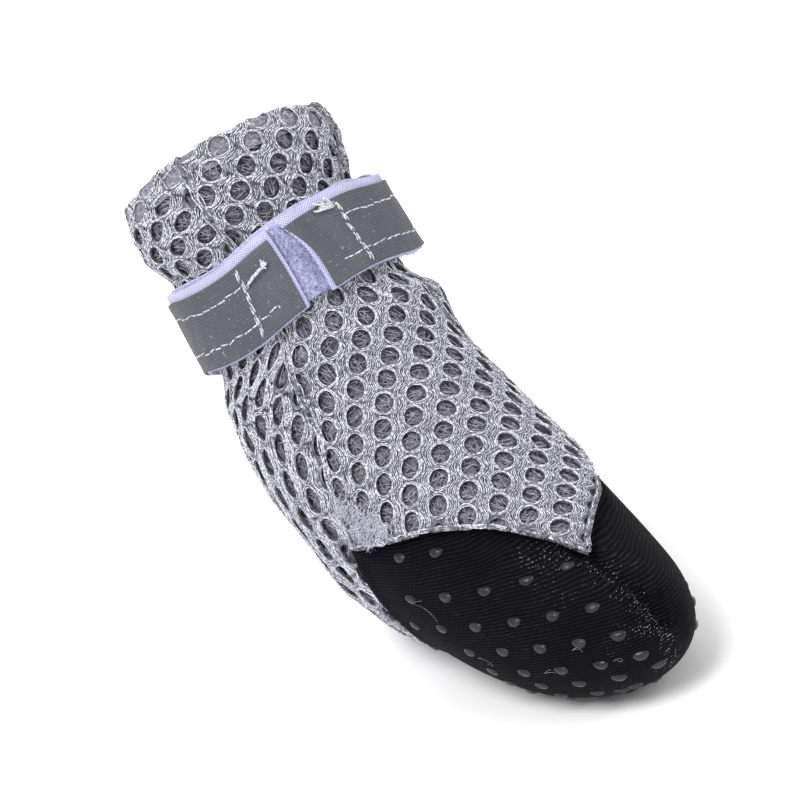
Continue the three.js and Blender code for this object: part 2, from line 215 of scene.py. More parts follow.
@dataclass
class Relief:
    """How far the mesh stands off the last: folds, the strap's pinch, the hem and the panels' edges."""

    last: Last
    point_lift: float = 0.9
    panel_step: float = 0.5
    hem_height: float = 6.0
    hem_step: float = 0.6
    rim_drop: float = 3.2
    rim_low_at: float = -55.0
    # Angle, millimetres that the rim drops there beyond the slow slope: the photo's rounded ends.
    rim_ends: tuple = (
        (-180, 0.2), (-150, 0.3), (-120, 1.2), (-90, 2.4), (-60, 2.6), (-45, 2.3), (-30, 1.2),
        (-15, 0), (0, -0.7), (30, -0.8), (45, -0.4), (60, 0.2), (75, 1.2), (90, 2.2), (105, 2.6),
        (120, 2.6), (135, 2.2), (150, 1.4), (180, 0.2),
    )
    section_pitch: float = 12.0
    strap_front: float = 11.6
    strap_climb: float = 0.45
    strap_width: float = 18.0
    strap_pinch: float = 2.6
    valley_depth: float = 0.6
    valley_reach: float = 5.0
    # Angle, section on the right, section on the left: where the mesh ends and the pouch shows.
    pouch_edge: tuple = (
        (0, 4.46, 4.46),
        (5, 5.1, 4.75),
        (20, 5.96, 5.22),
        (37, 6.56, 5.68),
        (52, 7.02, 6.34),
        (63, 7.4, 7.0),
        (76, 8.02, 7.95),
        (90, 7.71, 7.71),
        (109, 7.26, 7.26),
        (140, 6.98, 6.98),
        (180, 6.9, 6.9),
    )
    # Share of the way from the pouch to the collar, angle of the side seam.
    side_seam: tuple = ((0, 76), (0.07, 62), (0.2, 46), (0.42, 41), (0.7, 42), (1, 44))
    # Section, thickness, angle, reach, height of each soft fold.
    folds: tuple = (
        (10.45, 0.3, 60, 75, 1.0),
        (9.55, 0.28, 135, 50, -0.9),
        (8.9, 0.32, 150, 60, 0.8),
        (10.0, 0.25, -140, 55, -0.8),
        (10.4, 0.4, -65, 60, 1.5),
        (13.1, 0.6, 120, 90, 0.7),
        (10.15, 0.12, 70, 42, -0.55),
        (9.15, 0.14, 118, 34, -0.55),
        (8.62, 0.12, 112, 30, 0.45),
        (8.3, 0.1, 105, 24, -0.4),
        (9.75, 0.16, -95, 45, 0.5),
        (8.5, 0.3, -30, 40, 0.35),
        (12.75, 0.2, 75, 45, -0.45),
        (12.9, 0.25, -60, 60, -0.5),
        (9.3, 0.3, 20, 35, -0.3),
    )

    def edge_at(self, degrees: Array) -> Array:
        """The section of the pouch's edge at an angle.

        Args:
            degrees: Angles round the section.

        Returns:
            The section at each angle.
        """
        turn = wrapped(degrees)
        table = np.array(self.pouch_edge, float)
        right = np.interp(np.abs(turn), table[:, 0], table[:, 1])
        left = np.interp(np.abs(turn), table[:, 0], table[:, 2])
        return np.where(turn >= 0, right, left)

    def rim_at(self, degrees: Array) -> Array:
        """The section of the collar's rim at an angle.

        Args:
            degrees: Angles round the section.

        Returns:
            The section at each angle.
        """
        low = (1 + np.cos(np.radians(degrees - self.rim_low_at))) / 2
        ends = np.array(self.rim_ends, float)
        drop = self.rim_drop * low + np.interp(wrapped(degrees), ends[:, 0], ends[:, 1])
        return self.last.collar - drop / self.section_pitch

    def seam_at(self, section: Array, side: Side) -> Array:
        """The angle, without its sign, that the front panel reaches at a section on one side.

        Args:
            section: Places along the last, in sections.
            side: The boot's side.

        Returns:
            Degrees, 0 or more.
        """
        table = np.array(self.pouch_edge, float)[:7]
        edges = table[:, 1 if side is Side.RIGHT else 2]
        root = edges[-1]
        seam = np.array(self.side_seam, float)
        share = (section - root) / (self.last.collar - 0.1 - root)
        on_shaft = np.interp(np.clip(share, 0, 1), seam[:, 0], seam[:, 1])
        return np.where(section >= root, on_shaft, np.interp(section, edges, table[:, 0]))

    def seam_near(self, section: Array, degrees: Array) -> Array:
        """The seam's angle, without its sign, on the side where a place lies."""
        return np.where(degrees >= 0, self.seam_at(section, Side.RIGHT), self.seam_at(section, Side.LEFT))

    def strap_middle(self, degrees: Array) -> Array:
        """The section under the middle of the strap at an angle."""
        return self.strap_front + self.strap_climb * smooth(np.abs(wrapped(degrees)), 40, 120)

    def pinch(self, section: Array, degrees: Array) -> Array:
        """How far the strap draws the mesh in.

        Args:
            section: Places along the last, in sections.
            degrees: Angles round the section.

        Returns:
            Millimetres, 0 or more.
        """
        middle = self.strap_middle(degrees)
        away = np.abs(section - middle) * self.last.spacing(middle, degrees)
        half = self.strap_width / 2
        return self.strap_pinch * (1 - smooth(away, half + 1, half + 9))

    def point_share(self, degrees: Array) -> Array:
        """1 under the front panel, 0 behind the side seams."""
        return 1 - smooth(np.abs(wrapped(degrees)), 66, 76)

    def lift(self, section: Array, degrees: Array) -> Array:
        """How far the front panel's point stands off the toe."""
        return self.point_lift * self.point_share(degrees) * (1 - smooth(section, 6.4, 9))

    def folding(self, section: Array, degrees: Array) -> Array:
        """The soft folds' heights, added up.

        Args:
            section: Places along the last, in sections.
            degrees: Angles round the section.

        Returns:
            Millimetres.
        """
        total = np.zeros(np.broadcast(section, degrees).shape)
        for at, thick, angle, reach, height in self.folds:
            turn = wrapped(degrees - angle) / reach
            around = np.where(np.abs(turn) < 1, np.cos(np.clip(turn, -1, 1) * np.pi / 2) ** 2, 0)
            total = total + height * around * np.exp(-(((section - at) / thick) ** 2))
        return total

    def outside(self, section: Array, degrees: Array, panel: float) -> Array:
        """The mesh's outside, measured from the last.

        Args:
            section: Place along the foot, in sections.
            degrees: Place round the foot.
            panel: Height of the panel over the last.

        Returns:
            Millimetres off the last.
        """
        pinch = self.pinch(section, degrees)
        slack = 1 - pinch / self.strap_pinch
        from_rim = (self.rim_at(degrees) - section) * self.section_pitch
        hem = self.hem_step * (1 - smooth(from_rim, self.hem_height - 0.5, self.hem_height + 1))
        body = self.folding(section, degrees) + panel + self.lift(section, degrees)
        return slack * body - pinch + hem - self.valley(section, degrees)

    def valley(self, section: Array, degrees: Array) -> Array:
        """The shallow valley in which each side seam lies.

        Args:
            section: Places along the last, in sections.
            degrees: Angles round the section.

        Returns:
            Its depth in millimetres.
        """
        turn = wrapped(degrees)
        off = (np.abs(turn) - self.seam_near(section, turn)) / self.valley_reach
        shaft = smooth(section, 8.3, 9.0) * (1 - smooth(section, 12.9, 13.5))
        return self.valley_depth * np.exp(-(off**2)) * shaft


class Workbench:
    """Steps of mesh work that every class uses."""

    @staticmethod
    def clear_selection() -> None:
        """Nothing stays selected, so the next operator acts on the new piece alone."""
        if bpy.context.object and bpy.context.object.mode != "OBJECT":
            bpy.ops.object.mode_set(mode="OBJECT")
        bpy.ops.object.select_all(action="DESELECT")

    @staticmethod
    def take(piece: bpy.types.Object) -> None:
        """Makes one piece the only selected and the active one.

        Args:
            piece: The mesh object.
        """
        Workbench.clear_selection()
        piece.select_set(True)
        bpy.context.view_layer.objects.active = piece

    @staticmethod
    def cloth_grid(name: str, columns: int, rows: int) -> tuple[bpy.types.Object, Array, Array]:
        """A flat grid of cloth, to be laid over the last.

        Args:
            name: The piece's name.
            columns: Faces across.
            rows: Faces along.

        Returns:
            The piece, and each point's shares from 0 to 1 across and along.
        """
        Workbench.clear_selection()
        bpy.ops.mesh.primitive_grid_add(x_subdivisions=columns, y_subdivisions=rows, size=1.0)
        piece = bpy.context.object
        piece.name = name
        piece.data.name = name
        flat = Workbench.points_of(piece)
        return piece, flat[:, 0] + 0.5, flat[:, 1] + 0.5

    @staticmethod
    def points_of(piece: bpy.types.Object) -> Array:
        """A piece's points, one row each.

        Args:
            piece: The mesh object.

        Returns:
            The points.
        """
        flat = np.zeros(len(piece.data.vertices) * 3)
        piece.data.vertices.foreach_get("co", flat)
        return flat.reshape(-1, 3)

    @staticmethod
    def move_points(piece: bpy.types.Object, points: Array) -> None:
        """Puts a piece's points at new places."""
        piece.data.vertices.foreach_set("co", np.ascontiguousarray(points, np.float32).ravel())
        piece.data.update()

    @staticmethod
    def lay_map(piece: bpy.types.Object, name: str, across: Array, along: Array) -> None:
        """Stores a map of the cloth, in millimetres, from a value at each point.

        Args:
            piece: The piece.
            name: The map's name.
            across: First coordinate at each point.
            along: Second coordinate at each point.
        """
        layer = piece.data.uv_layers.get(name) or piece.data.uv_layers.new(name=name)
        corners = np.zeros(len(piece.data.loops), int)
        piece.data.loops.foreach_get("vertex_index", corners)
        pairs = np.stack([across, along], -1)[corners]
        layer.data.foreach_set("uv", np.ascontiguousarray(pairs, np.float32).ravel())

    @staticmethod
    def edit(piece: bpy.types.Object, *steps: Callable[[], object]) -> None:
        """Runs steps of mesh work on all of a piece, in edit mode.

        Args:
            piece: The mesh object.
            steps: Operators to call, in turn.
        """
        Workbench.take(piece)
        bpy.ops.object.mode_set(mode="EDIT")
        bpy.ops.mesh.select_all(action="SELECT")
        for step in steps:
            step()
        bpy.ops.object.mode_set(mode="OBJECT")

    @staticmethod
    def weld(piece: bpy.types.Object, join: float = 0.00001, drop: float = 0.00001) -> None:
        """Joins the points nearer than join, in metres, and drops the faces thinner than drop."""
        join_near = partial(bpy.ops.mesh.remove_doubles, threshold=join)
        Workbench.edit(piece, join_near, partial(bpy.ops.mesh.dissolve_degenerate, threshold=drop))

    @staticmethod
    def turn_out(piece: bpy.types.Object) -> None:
        """Turns a piece's faces outwards."""
        Workbench.edit(piece, partial(bpy.ops.mesh.normals_make_consistent, inside=False))

    @staticmethod
    def modify(piece: bpy.types.Object, kind: str, **settings: object) -> None:
        """Adds a modifier with its settings and applies it.

        Args:
            piece: The mesh object.
            kind: The modifier's type.
            settings: Its properties and their values.
        """
        Workbench.take(piece)
        modifier = piece.modifiers.new(kind.title(), kind)
        for key, value in settings.items():
            setattr(modifier, key, value)
        bpy.ops.object.modifier_apply(modifier=modifier.name)

    @staticmethod
    def soften(piece: bpy.types.Object, degrees: float = 60.0) -> None:
        """Shades a piece smooth up to an angle."""
        Workbench.take(piece)
        bpy.ops.object.shade_smooth_by_angle(angle=math.radians(degrees))

    @staticmethod
    def from_faces(name: str, points: Array, faces: Sequence) -> bpy.types.Object:
        """A piece from points in metres and the corners of its faces.

        Args:
            name: The new object's name.
            points: Its points, in metres.
            faces: Its faces, as numbers of points.

        Returns:
            The piece.
        """
        mesh = bpy.data.meshes.new(name)
        mesh.from_pydata(points.tolist(), [], [tuple(face) for face in faces])
        piece = bpy.data.objects.new(name, mesh)
        bpy.context.scene.collection.objects.link(piece)
        return piece

    @staticmethod
    def threads(
        name: str,
        paths: Sequence[Array],
        radius: float,
        sides: int,
        material: bpy.types.Material,
        slot: str,
        taper: bool = False,
    ) -> bpy.types.Object:
        """Many closed-ended yarns as one dressed piece.

        Args:
            name: The piece's name.
            paths: Each yarn's points, in metres.
            radius: The yarns' radius, in millimetres.
            sides: Faces round each yarn.
            material: Their finish.
            slot: A material slot's name, passed on to finish.
            taper: Whether a yarn thins to its end, as a hair does.

        Returns:
            The piece.
        """
        points: list[Array] = []
        faces: list[tuple[int, ...]] = []
        first = 0
        turn = np.arange(sides) * 2 * np.pi / sides
        for path in paths:
            count = len(path)
            if count < 2:
                continue
            ahead = np.gradient(path, axis=0)
            ahead /= np.linalg.norm(ahead, axis=1, keepdims=True) + 1e-12
            guide = np.where(np.abs(ahead[:, 2:3]) < 0.9, [[0, 0, 1.0]], [[1.0, 0, 0]])
            aside = np.cross(ahead, guide)
            aside /= np.linalg.norm(aside, axis=1, keepdims=True) + 1e-12
            over = np.cross(aside, ahead)
            size = np.full(count, radius * MM)
            size[0] *= 0.5
            size[-1] *= 0.5
            if taper:
                size = radius * MM * np.linspace(1, 0.25, count)
            ring = aside[:, None] * np.cos(turn)[None, :, None] + over[:, None] * np.sin(turn)[None, :, None]
            points.append((path[:, None] + ring * size[:, None, None]).reshape(-1, 3))
            for a in range(first, first + (count - 1) * sides, sides):
                for j in range(sides):
                    after = (j + 1) % sides
                    faces.append((a + j, a + after, a + sides + after, a + sides + j))
            faces.append(tuple(first + j for j in reversed(range(sides))))
            faces.append(tuple(first + (count - 1) * sides + j for j in range(sides)))
            first += count * sides
        piece = Workbench.from_faces(name, np.concatenate(points), faces)
        piece.data.shade_smooth()
        return Workbench.finish(piece, material, slot)

    @staticmethod
    def finish(
        piece: bpy.types.Object, material: bpy.types.Material, slot: str, *nodes: str
    ) -> bpy.types.Object:
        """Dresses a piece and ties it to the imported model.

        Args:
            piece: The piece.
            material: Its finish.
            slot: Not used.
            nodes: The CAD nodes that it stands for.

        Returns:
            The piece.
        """
        points = Workbench.points_of(piece)
        points[:, 2] = np.maximum(points[:, 2], 0)
        Workbench.move_points(piece, points)
        piece.data.materials.clear()
        piece.data.materials.append(material)
        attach(piece, BODY)
        if nodes:
            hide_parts(*nodes)
        LOG.info("%s: %d faces", piece.name, len(piece.data.polygons))
        return piece


class NodeBench:
    """Adds and joins shader nodes in one tree."""

    def __init__(self, tree: bpy.types.NodeTree) -> None:
        """Keeps the tree that the nodes go into."""
        self.tree = tree

    def add(self, kind: str, **settings: object) -> bpy.types.Node:
        """A node of one kind with its settings.

        Args:
            kind: The node's type.
            settings: Its properties and their values.

        Returns:
            The node.
        """
        node = self.tree.nodes.new(kind)
        for key, value in settings.items():
            setattr(node, key, value)
        return node

    def put(self, socket: bpy.types.NodeSocket, value: object) -> None:
        """Joins a socket to another, or sets its value.

        Args:
            socket: The input to fill.
            value: Another node's socket, or a plain value.
        """
        if isinstance(value, bpy.types.NodeSocket):
            self.tree.links.new(value, socket)
        elif isinstance(value, tuple) and socket.type == "RGBA" and len(value) == 3:
            socket.default_value = (*value, 1)
        else:
            socket.default_value = value

    def math(self, operation: str, a: object, b: object = 0.0, clamp: bool = False) -> bpy.types.NodeSocket:
        """A sum or other operation on two values.

        Args:
            operation: The node's operation.
            a: The first value.
            b: The second value.
            clamp: Whether the result stays from 0 to 1.

        Returns:
            The result, as a socket.
        """
        node = self.add("ShaderNodeMath", operation=operation, use_clamp=clamp)
        self.put(node.inputs[0], a)
        self.put(node.inputs[1], b)
        return node.outputs[0]

    def vector(self, operation: str, a: object, b: object = None) -> bpy.types.NodeSocket:
        """An operation on two vectors; a scale takes a number as its second.

        Args:
            operation: The node's operation.
            a: The first vector.
            b: The second one.

        Returns:
            The result, as a socket.
        """
        node = self.add("ShaderNodeVectorMath", operation=operation)
        self.put(node.inputs[0], a)
        if b is not None:
            self.put(node.inputs[3] if operation == "SCALE" else node.inputs[1], b)
        return node.outputs["Value"] if operation in ("LENGTH", "DOT_PRODUCT") else node.outputs[0]

    def blend(self, share: object, a: object, b: object) -> bpy.types.NodeSocket:
        """Two colours mixed by a share.

        Args:
            share: How much of the second shows.
            a: The first colour.
            b: The second one.

        Returns:
            The result, as a socket.
        """
        node = self.add("ShaderNodeMix", data_type="RGBA")
        self.put(node.inputs["Factor"], share)
        self.put(node.inputs[6], a)
        self.put(node.inputs[7], b)
        return node.outputs[2]

    def between(
        self, value: object, low: float, high: float, a: float = 0.0, b: float = 1.0
    ) -> bpy.types.NodeSocket:
        """A value's soft step from a at low to b at high.

        Args:
            value: The value.
            low: Where the step starts.
            high: Where it ends.
            a: The result up to low.
            b: The result from high on.

        Returns:
            The result, as a socket.
        """
        node = self.add("ShaderNodeMapRange", interpolation_type="SMOOTHSTEP")
        self.put(node.inputs["Value"], value)
        for name, number in (("From Min", low), ("From Max", high), ("To Min", a), ("To Max", b)):
            self.put(node.inputs[name], number)
        return node.outputs[0]

    def noise(
        self, vector: object, scale: float, detail: float = 2.0, distortion: float = 0.0
    ) -> bpy.types.NodeSocket:
        """A soft random pattern.

        Args:
            vector: The coordinates, as a socket.
            scale: How fine it is: larger is finer.
            detail: How many finer layers it has.
            distortion: How far it is twisted.

        Returns:
            The result, as a socket.
        """
        node = self.add("ShaderNodeTexNoise")
        for name, value in dict(Vector=vector, Scale=scale, Detail=detail, Distortion=distortion).items():
            self.put(node.inputs[name], value)
        return node.outputs["Fac"]

    def stretched(
        self, vector: object, across: float, along: float, turn: float = 0.0
    ) -> bpy.types.NodeSocket:
        """A map scaled differently each way, after a turn in degrees.

        Args:
            vector: The coordinates, as a socket.
            across: Scale of the first axis.
            along: Scale of the second axis.
            turn: The turn in degrees.

        Returns:
            The result, as a socket.
        """
        node = self.add("ShaderNodeMapping")
        self.put(node.inputs["Vector"], vector)
        self.put(node.inputs["Rotation"], (0.0, 0.0, math.radians(turn)))
        return self.vector("MULTIPLY", node.outputs[0], (across, along, 1.0))

    def split(self, vector: object) -> bpy.types.bpy_prop_collection:
        """The three parts of a vector.

        Args:
            vector: The coordinates, as a socket.

        Returns:
            The sockets of x, y and z.
        """
        node = self.add("ShaderNodeSeparateXYZ")
        self.put(node.inputs[0], vector)
        return node.outputs

    def join(self, *parts: object) -> bpy.types.NodeSocket:
        """A vector from its first parts; the others are 0.

        Args:
            parts: Numbers for x, y and z, in turn.

        Returns:
            The result, as a socket.
        """
        node = self.add("ShaderNodeCombineXYZ")
        for socket, part in zip(node.inputs, parts):
            self.put(socket, part)
        return node.outputs[0]

    def wave(self, value: object, pitch: float) -> bpy.types.NodeSocket:
        """A sine of a length, with its pitch in the same units."""
        return self.math("SINE", self.math("MULTIPLY", value, 2 * math.pi / pitch))

    def weigh(self, share: object, a: object, b: object) -> bpy.types.NodeSocket:
        """Two numbers mixed by a share.

        Args:
            share: How much of the second counts.
            a: The first number.
            b: The second one.

        Returns:
            The result, as a socket.
        """
        node = self.add("ShaderNodeMix", data_type="FLOAT")
        for index, value in ((0, share), (2, a), (3, b)):
            self.put(node.inputs[index], value)
        return node.outputs[0]

    def cloth_map(self, name: str) -> bpy.types.NodeSocket:
        """One of the piece's own maps."""
        return self.add("ShaderNodeUVMap", uv_map=name).outputs[0]

    def millimetres(self) -> bpy.types.NodeSocket:
        """Object coordinates in millimetres."""
        place = self.add("ShaderNodeTexCoord").outputs["Object"]
        return self.vector("SCALE", place, 1 / MM)

    def bump(self, height: object, depth: float, strength: float = 1.0) -> bpy.types.NodeSocket:
        """A normal from a height; depth is in millimetres.

        Args:
            height: The height, as a socket.
            depth: What a height of 1 stands for, in millimetres.
            strength: How strongly it shows.

        Returns:
            The result, as a socket.
        """
        node = self.add("ShaderNodeBump")
        self.put(node.inputs["Height"], height)
        self.put(node.inputs["Distance"], depth * MM)
        self.put(node.inputs["Strength"], strength)
        return node.outputs[0]


class EffectGroups:
    """Shader node groups that several finishes share."""

    @staticmethod
    def make(name: str, inputs: Sequence[str], outputs: Sequence[str]) -> tuple[NodeBench, dict, dict]:
        """An empty group with number sockets, and vector ones where the name says Vector.

        Args:
            name: The group's name.
            inputs: Names of the inputs.
            outputs: Names of the outputs.

        Returns:
            The bench, and the sockets inside the group by name.
        """
        tree = bpy.data.node_groups.new(name, "ShaderNodeTree")
        for names, way in ((inputs, "INPUT"), (outputs, "OUTPUT")):
            for socket in names:
                kind = "NodeSocketVector" if "Vector" in socket else "NodeSocketFloat"
                tree.interface.new_socket(name=socket, in_out=way, socket_type=kind)
        bench = NodeBench(tree)
        come = {s.name: s for s in bench.add("NodeGroupInput").outputs if s.name}
        go = {s.name: s for s in bench.add("NodeGroupOutput").inputs if s.name}
        return bench, come, go

    @staticmethod
    @cache
    def fibres() -> bpy.types.NodeTree:
        """Fine filaments that run along a map's first axis.

        Returns:
            The group.
        """
        bench, come, go = EffectGroups.make(
            "fibre_streaks", ("Vector", "Across", "Along"), ("Height", "Bright")
        )
        wave = bench.noise(come["Vector"], 0.55, 1.0)
        push = bench.math("MULTIPLY", bench.math("SUBTRACT", wave, 0.5), 1.6)
        parts = bench.split(come["Vector"])
        along = bench.math("MULTIPLY", parts[0], come["Along"])
        across = bench.math("MULTIPLY", bench.math("ADD", parts[1], push), come["Across"])
        height = bench.noise(bench.join(along, across), 1.0, 2.0)
        bench.put(go["Height"], height)
        bench.put(go["Bright"], bench.between(height, 0.5, 0.68))
        return bench.tree

    @staticmethod
    @cache
    def mottle() -> bpy.types.NodeTree:
        """Slow changes of tone, as from handling and dust.

        Returns:
            The group.
        """
        bench, come, go = EffectGroups.make("slow_mottle", ("Vector", "Size"), ("Tone", "Dust"))
        scaled = bench.vector("SCALE", come["Vector"], bench.math("DIVIDE", 1.0, come["Size"]))
        slow = bench.noise(scaled, 1.0, 3.0)
        specks = bench.noise(scaled, 9.0, 2.0)
        bench.put(go["Tone"], bench.between(slow, 0.3, 0.7))
        bench.put(go["Dust"], bench.between(specks, 0.66, 0.74))
        return bench.tree

    @staticmethod
    def use(
        bench: NodeBench, tree: bpy.types.NodeTree, **values: object
    ) -> bpy.types.bpy_prop_collection:
        """Places a group in a material with its own values.

        Args:
            bench: The material's bench.
            tree: The group.
            values: Values or sockets for the group's inputs.

        Returns:
            The group's outputs.
        """
        node = bench.add("ShaderNodeGroup", node_tree=tree)
        for key, value in values.items():
            bench.put(node.inputs[key], value)
        return node.outputs

    @staticmethod
    def streaks(
        bench: NodeBench, vector: object, across: float, along: float
    ) -> bpy.types.bpy_prop_collection:
        """Places the fibres, so many to a millimetre across and along."""
        return EffectGroups.use(bench, EffectGroups.fibres(), Vector=vector, Across=across, Along=along)

    @staticmethod
    def mottled(bench: NodeBench, vector: object, size: float) -> bpy.types.bpy_prop_collection:
        """Places the mottle, with patches of a size in millimetres."""
        return EffectGroups.use(bench, EffectGroups.mottle(), Vector=vector, Size=size)


def new_material(name: str, **settings: object) -> tuple[bpy.types.Material, NodeBench, bpy.types.Node]:
    """A material with its Principled shader.

    Args:
        name: The material's name.
        settings: Values of the shader's own sockets, with _ for a space.

    Returns:
        The material, its bench and the shader.
    """
    material = bpy.data.materials.new(name)
    material.use_nodes = True
    bench = NodeBench(material.node_tree)
    shader = material.node_tree.nodes["Principled BSDF"]
    for key, value in settings.items():
        bench.put(shader.inputs[key.replace("_", " ")], value)
    return material, bench, shader


@dataclass(frozen=True)
class MeshYarn:
    """Silver-grey knitted yarn: rings round the holes and wavy bands between the columns of holes."""

    light: Colour = tone(160, 160, 172)
    middle: Colour = tone(98, 97, 108)
    dark: Colour = tone(42, 41, 48)
    ring_radius: float = 2.5

    def make(self) -> bpy.types.Material:
        """The material.

        Returns:
            The material.
        """
        material, bench, shader = new_material(
            "mesh_yarn", Roughness=0.62, Sheen_Weight=0.25, Sheen_Roughness=0.4, Specular_IOR_Level=0.45
        )
        grain = bench.cloth_map("Grain")
        cell = bench.cloth_map("Cell")
        parts = bench.split(cell)
        radius = bench.vector("LENGTH", cell)
        turn = bench.math("MULTIPLY", bench.math("ARCTAN2", parts[1], parts[0]), 2.1)
        place = bench.vector("LENGTH", bench.vector("SCALE", grain, 0.21))
        bands = EffectGroups.streaks(bench, grain, 3.3, 0.55)
        rings = EffectGroups.streaks(bench, bench.join(turn, radius, place), 3.6, 0.7)
        share = bench.between(radius, self.ring_radius - 0.15, self.ring_radius + 0.25)
        level = bench.weigh(share, rings["Height"], bands["Height"])
        colour = bench.blend(bench.between(level, 0.36, 0.5), self.dark, self.middle)
        colour = bench.blend(bench.between(level, 0.52, 0.64), colour, self.light)
        slow = EffectGroups.mottled(bench, bench.millimetres(), 14.0)
        colour = bench.blend(bench.math("MULTIPLY", slow["Tone"], 0.16), colour, self.middle)
        bench.put(shader.inputs["Base Color"], colour)
        bench.put(shader.inputs["Normal"], bench.bump(level, 0.5, 0.9))
        return material


@dataclass(frozen=True)
class StrandYarn:
    """Single bright yarns that stand on the mesh."""

    light: Colour = tone(234, 234, 243)
    dark: Colour = tone(124, 123, 137)

    def make(self, name: str = "strand_yarn") -> bpy.types.Material:
        """The material, under a name.

        Args:
            name: The material's name.

        Returns:
            The material.
        """
        material, bench, shader = new_material(
            name, Roughness=0.5, Sheen_Weight=0.15, Sheen_Roughness=0.4, Specular_IOR_Level=0.5
        )
        place = bench.millimetres()
        twist = bench.noise(place, 2.2, 2.0)
        slow = EffectGroups.mottled(bench, place, 6.0)
        colour = bench.blend(bench.between(twist, 0.38, 0.6), self.dark, self.light)
        colour = bench.blend(bench.math("MULTIPLY", slow["Tone"], 0.2), colour, self.dark)
        bench.put(shader.inputs["Base Color"], colour)
        bench.put(shader.inputs["Normal"], bench.bump(twist, 0.15, 0.7))
        return material


@dataclass(frozen=True)
class LiningNet:
    """The thin dark layer seen in the holes, crossed by light filaments."""

    ground: Colour = tone(98, 96, 105)
    thread: Colour = tone(168, 167, 179)
    gap: Colour = tone(38, 36, 41)

    def make(self, name: str) -> bpy.types.Material:
        """The material, under a name.

        Args:
            name: The material's name.

        Returns:
            The material.
        """
        material, bench, shader = new_material(name, Roughness=0.8, Specular_IOR_Level=0.25)
        grain = bench.cloth_map("Grain")
        first = EffectGroups.streaks(bench, bench.stretched(grain, 1, 1, 24), 3.4, 0.6)["Bright"]
        second = EffectGroups.streaks(bench, bench.stretched(grain, 1, 1, -38), 3.0, 0.5)["Bright"]
        most = bench.math("MAXIMUM", first, bench.math("MULTIPLY", second, 0.75))
        slow = EffectGroups.mottled(bench, grain, 5.0)
        thread = bench.blend(bench.math("MULTIPLY", slow["Tone"], 0.5), self.thread, self.ground)
        gaps = bench.between(bench.noise(bench.stretched(grain, 1.5, 0.8, 15), 1.0, 1.0), 0.5, 0.6)
        ground = bench.blend(gaps, self.ground, self.gap)
        bench.put(shader.inputs["Base Color"], bench.blend(most, ground, thread))
        bench.put(shader.inputs["Normal"], bench.bump(most, 0.25, 0.6))
        return material


@dataclass(frozen=True)
class GripKnit:
    """Black ribbed knit with bright specks where filaments catch the light."""

    ground: Colour = tone(2, 2, 4)
    lit: Colour = tone(7, 7, 11)
    rib: Colour = tone(24, 24, 32)
    speck: Colour = tone(150, 150, 168)
    seam_x: float = -1.3
    speckled_reach: float = 13.0
    rib_pitch: float = 0.64
    stitch_pitch: float = 0.62
    rib_tilt: float = 9.0

    def make(self) -> bpy.types.Material:
        """The material.

        Returns:
            The material.
        """
        material, bench, shader = new_material(
            "grip_knit", Sheen_Weight=0.01, Sheen_Roughness=0.5, Specular_IOR_Level=0.06
        )
        place = bench.millimetres()
        tilt = math.radians(self.rib_tilt)
        level = bench.vector("DOT_PRODUCT", place, (0.0, math.sin(tilt), math.cos(tilt)))
        parts = bench.split(place)
        wander = bench.math("MULTIPLY", bench.math("SUBTRACT", bench.noise(place, 0.12, 1.0), 0.5), 1.2)
        level = bench.math("ADD", level, wander)
        off_floor = bench.between(parts[2], 1.5, 4.5)
        line = bench.weigh(off_floor, bench.wave(parts[0], self.rib_pitch), bench.wave(level, self.rib_pitch))
        ribs = bench.math("MULTIPLY", bench.math("ADD", line, 1.0), 0.5)
        ahead = bench.vector("DOT_PRODUCT", place, (0.72, 0.69, 0.0))
        stitches = bench.math("MULTIPLY", bench.math("ADD", bench.wave(ahead, self.stitch_pitch), 1.0), 0.5)
        height = bench.math("ADD", ribs, bench.math("MULTIPLY", bench.math("MULTIPLY", ribs, stitches), 0.5))
        fine = bench.noise(place, 2.6, 1.0)
        patch = bench.between(bench.noise(place, 0.11, 2.0), 0.42, 0.66)
        bright = bench.math("MULTIPLY", bench.between(fine, 0.62, 0.7), patch)
        bright = bench.math("MULTIPLY", bright, bench.between(ribs, 0.35, 0.7))
        off_seam = bench.math("ABSOLUTE", bench.math("SUBTRACT", parts[0], self.seam_x))
        near = bench.between(off_seam, 4.0, self.speckled_reach, 1.0, 0.12)
        bright = bench.math("MULTIPLY", bright, near)
        right_side = bench.between(parts[0], self.seam_x, self.seam_x + 2.0, 1.0, 0.25)
        bright = bench.math("MULTIPLY", bright, right_side)
        dust = EffectGroups.mottled(bench, place, 9.0)
        colour = bench.blend(bench.math("MULTIPLY", dust["Tone"], 0.35), self.ground, self.lit)
        colour = bench.blend(bench.math("MULTIPLY", ribs, 0.55), colour, self.rib)
        bench.put(shader.inputs["Base Color"], bench.blend(bright, colour, self.speck))
        bench.put(shader.inputs["Roughness"], bench.between(bright, 0.0, 1.0, 0.8, 0.35))
        bench.put(shader.inputs["Normal"], bench.bump(height, 0.3, 0.9))
        return material


@dataclass(frozen=True)
class GripDot:
    """Moulded dots of dark rubber with a dull gloss."""

    ground: Colour = tone(22, 22, 30)
    light: Colour = tone(37, 37, 49)
    dust: Colour = tone(90, 90, 100)

    def make(self) -> bpy.types.Material:
        """The material.

        Returns:
            The material.
        """
        material, bench, shader = new_material(
            "grip_dot", Coat_Weight=0.08, Coat_Roughness=0.2, Specular_IOR_Level=0.3
        )
        slow = EffectGroups.mottled(bench, bench.millimetres(), 2.5)
        colour = bench.blend(slow["Tone"], self.ground, self.light)
        bench.put(shader.inputs["Base Color"], bench.blend(slow["Dust"], colour, self.dust))
        bench.put(shader.inputs["Roughness"], bench.between(slow["Tone"], 0.0, 1.0, 0.3, 0.45))
        return material


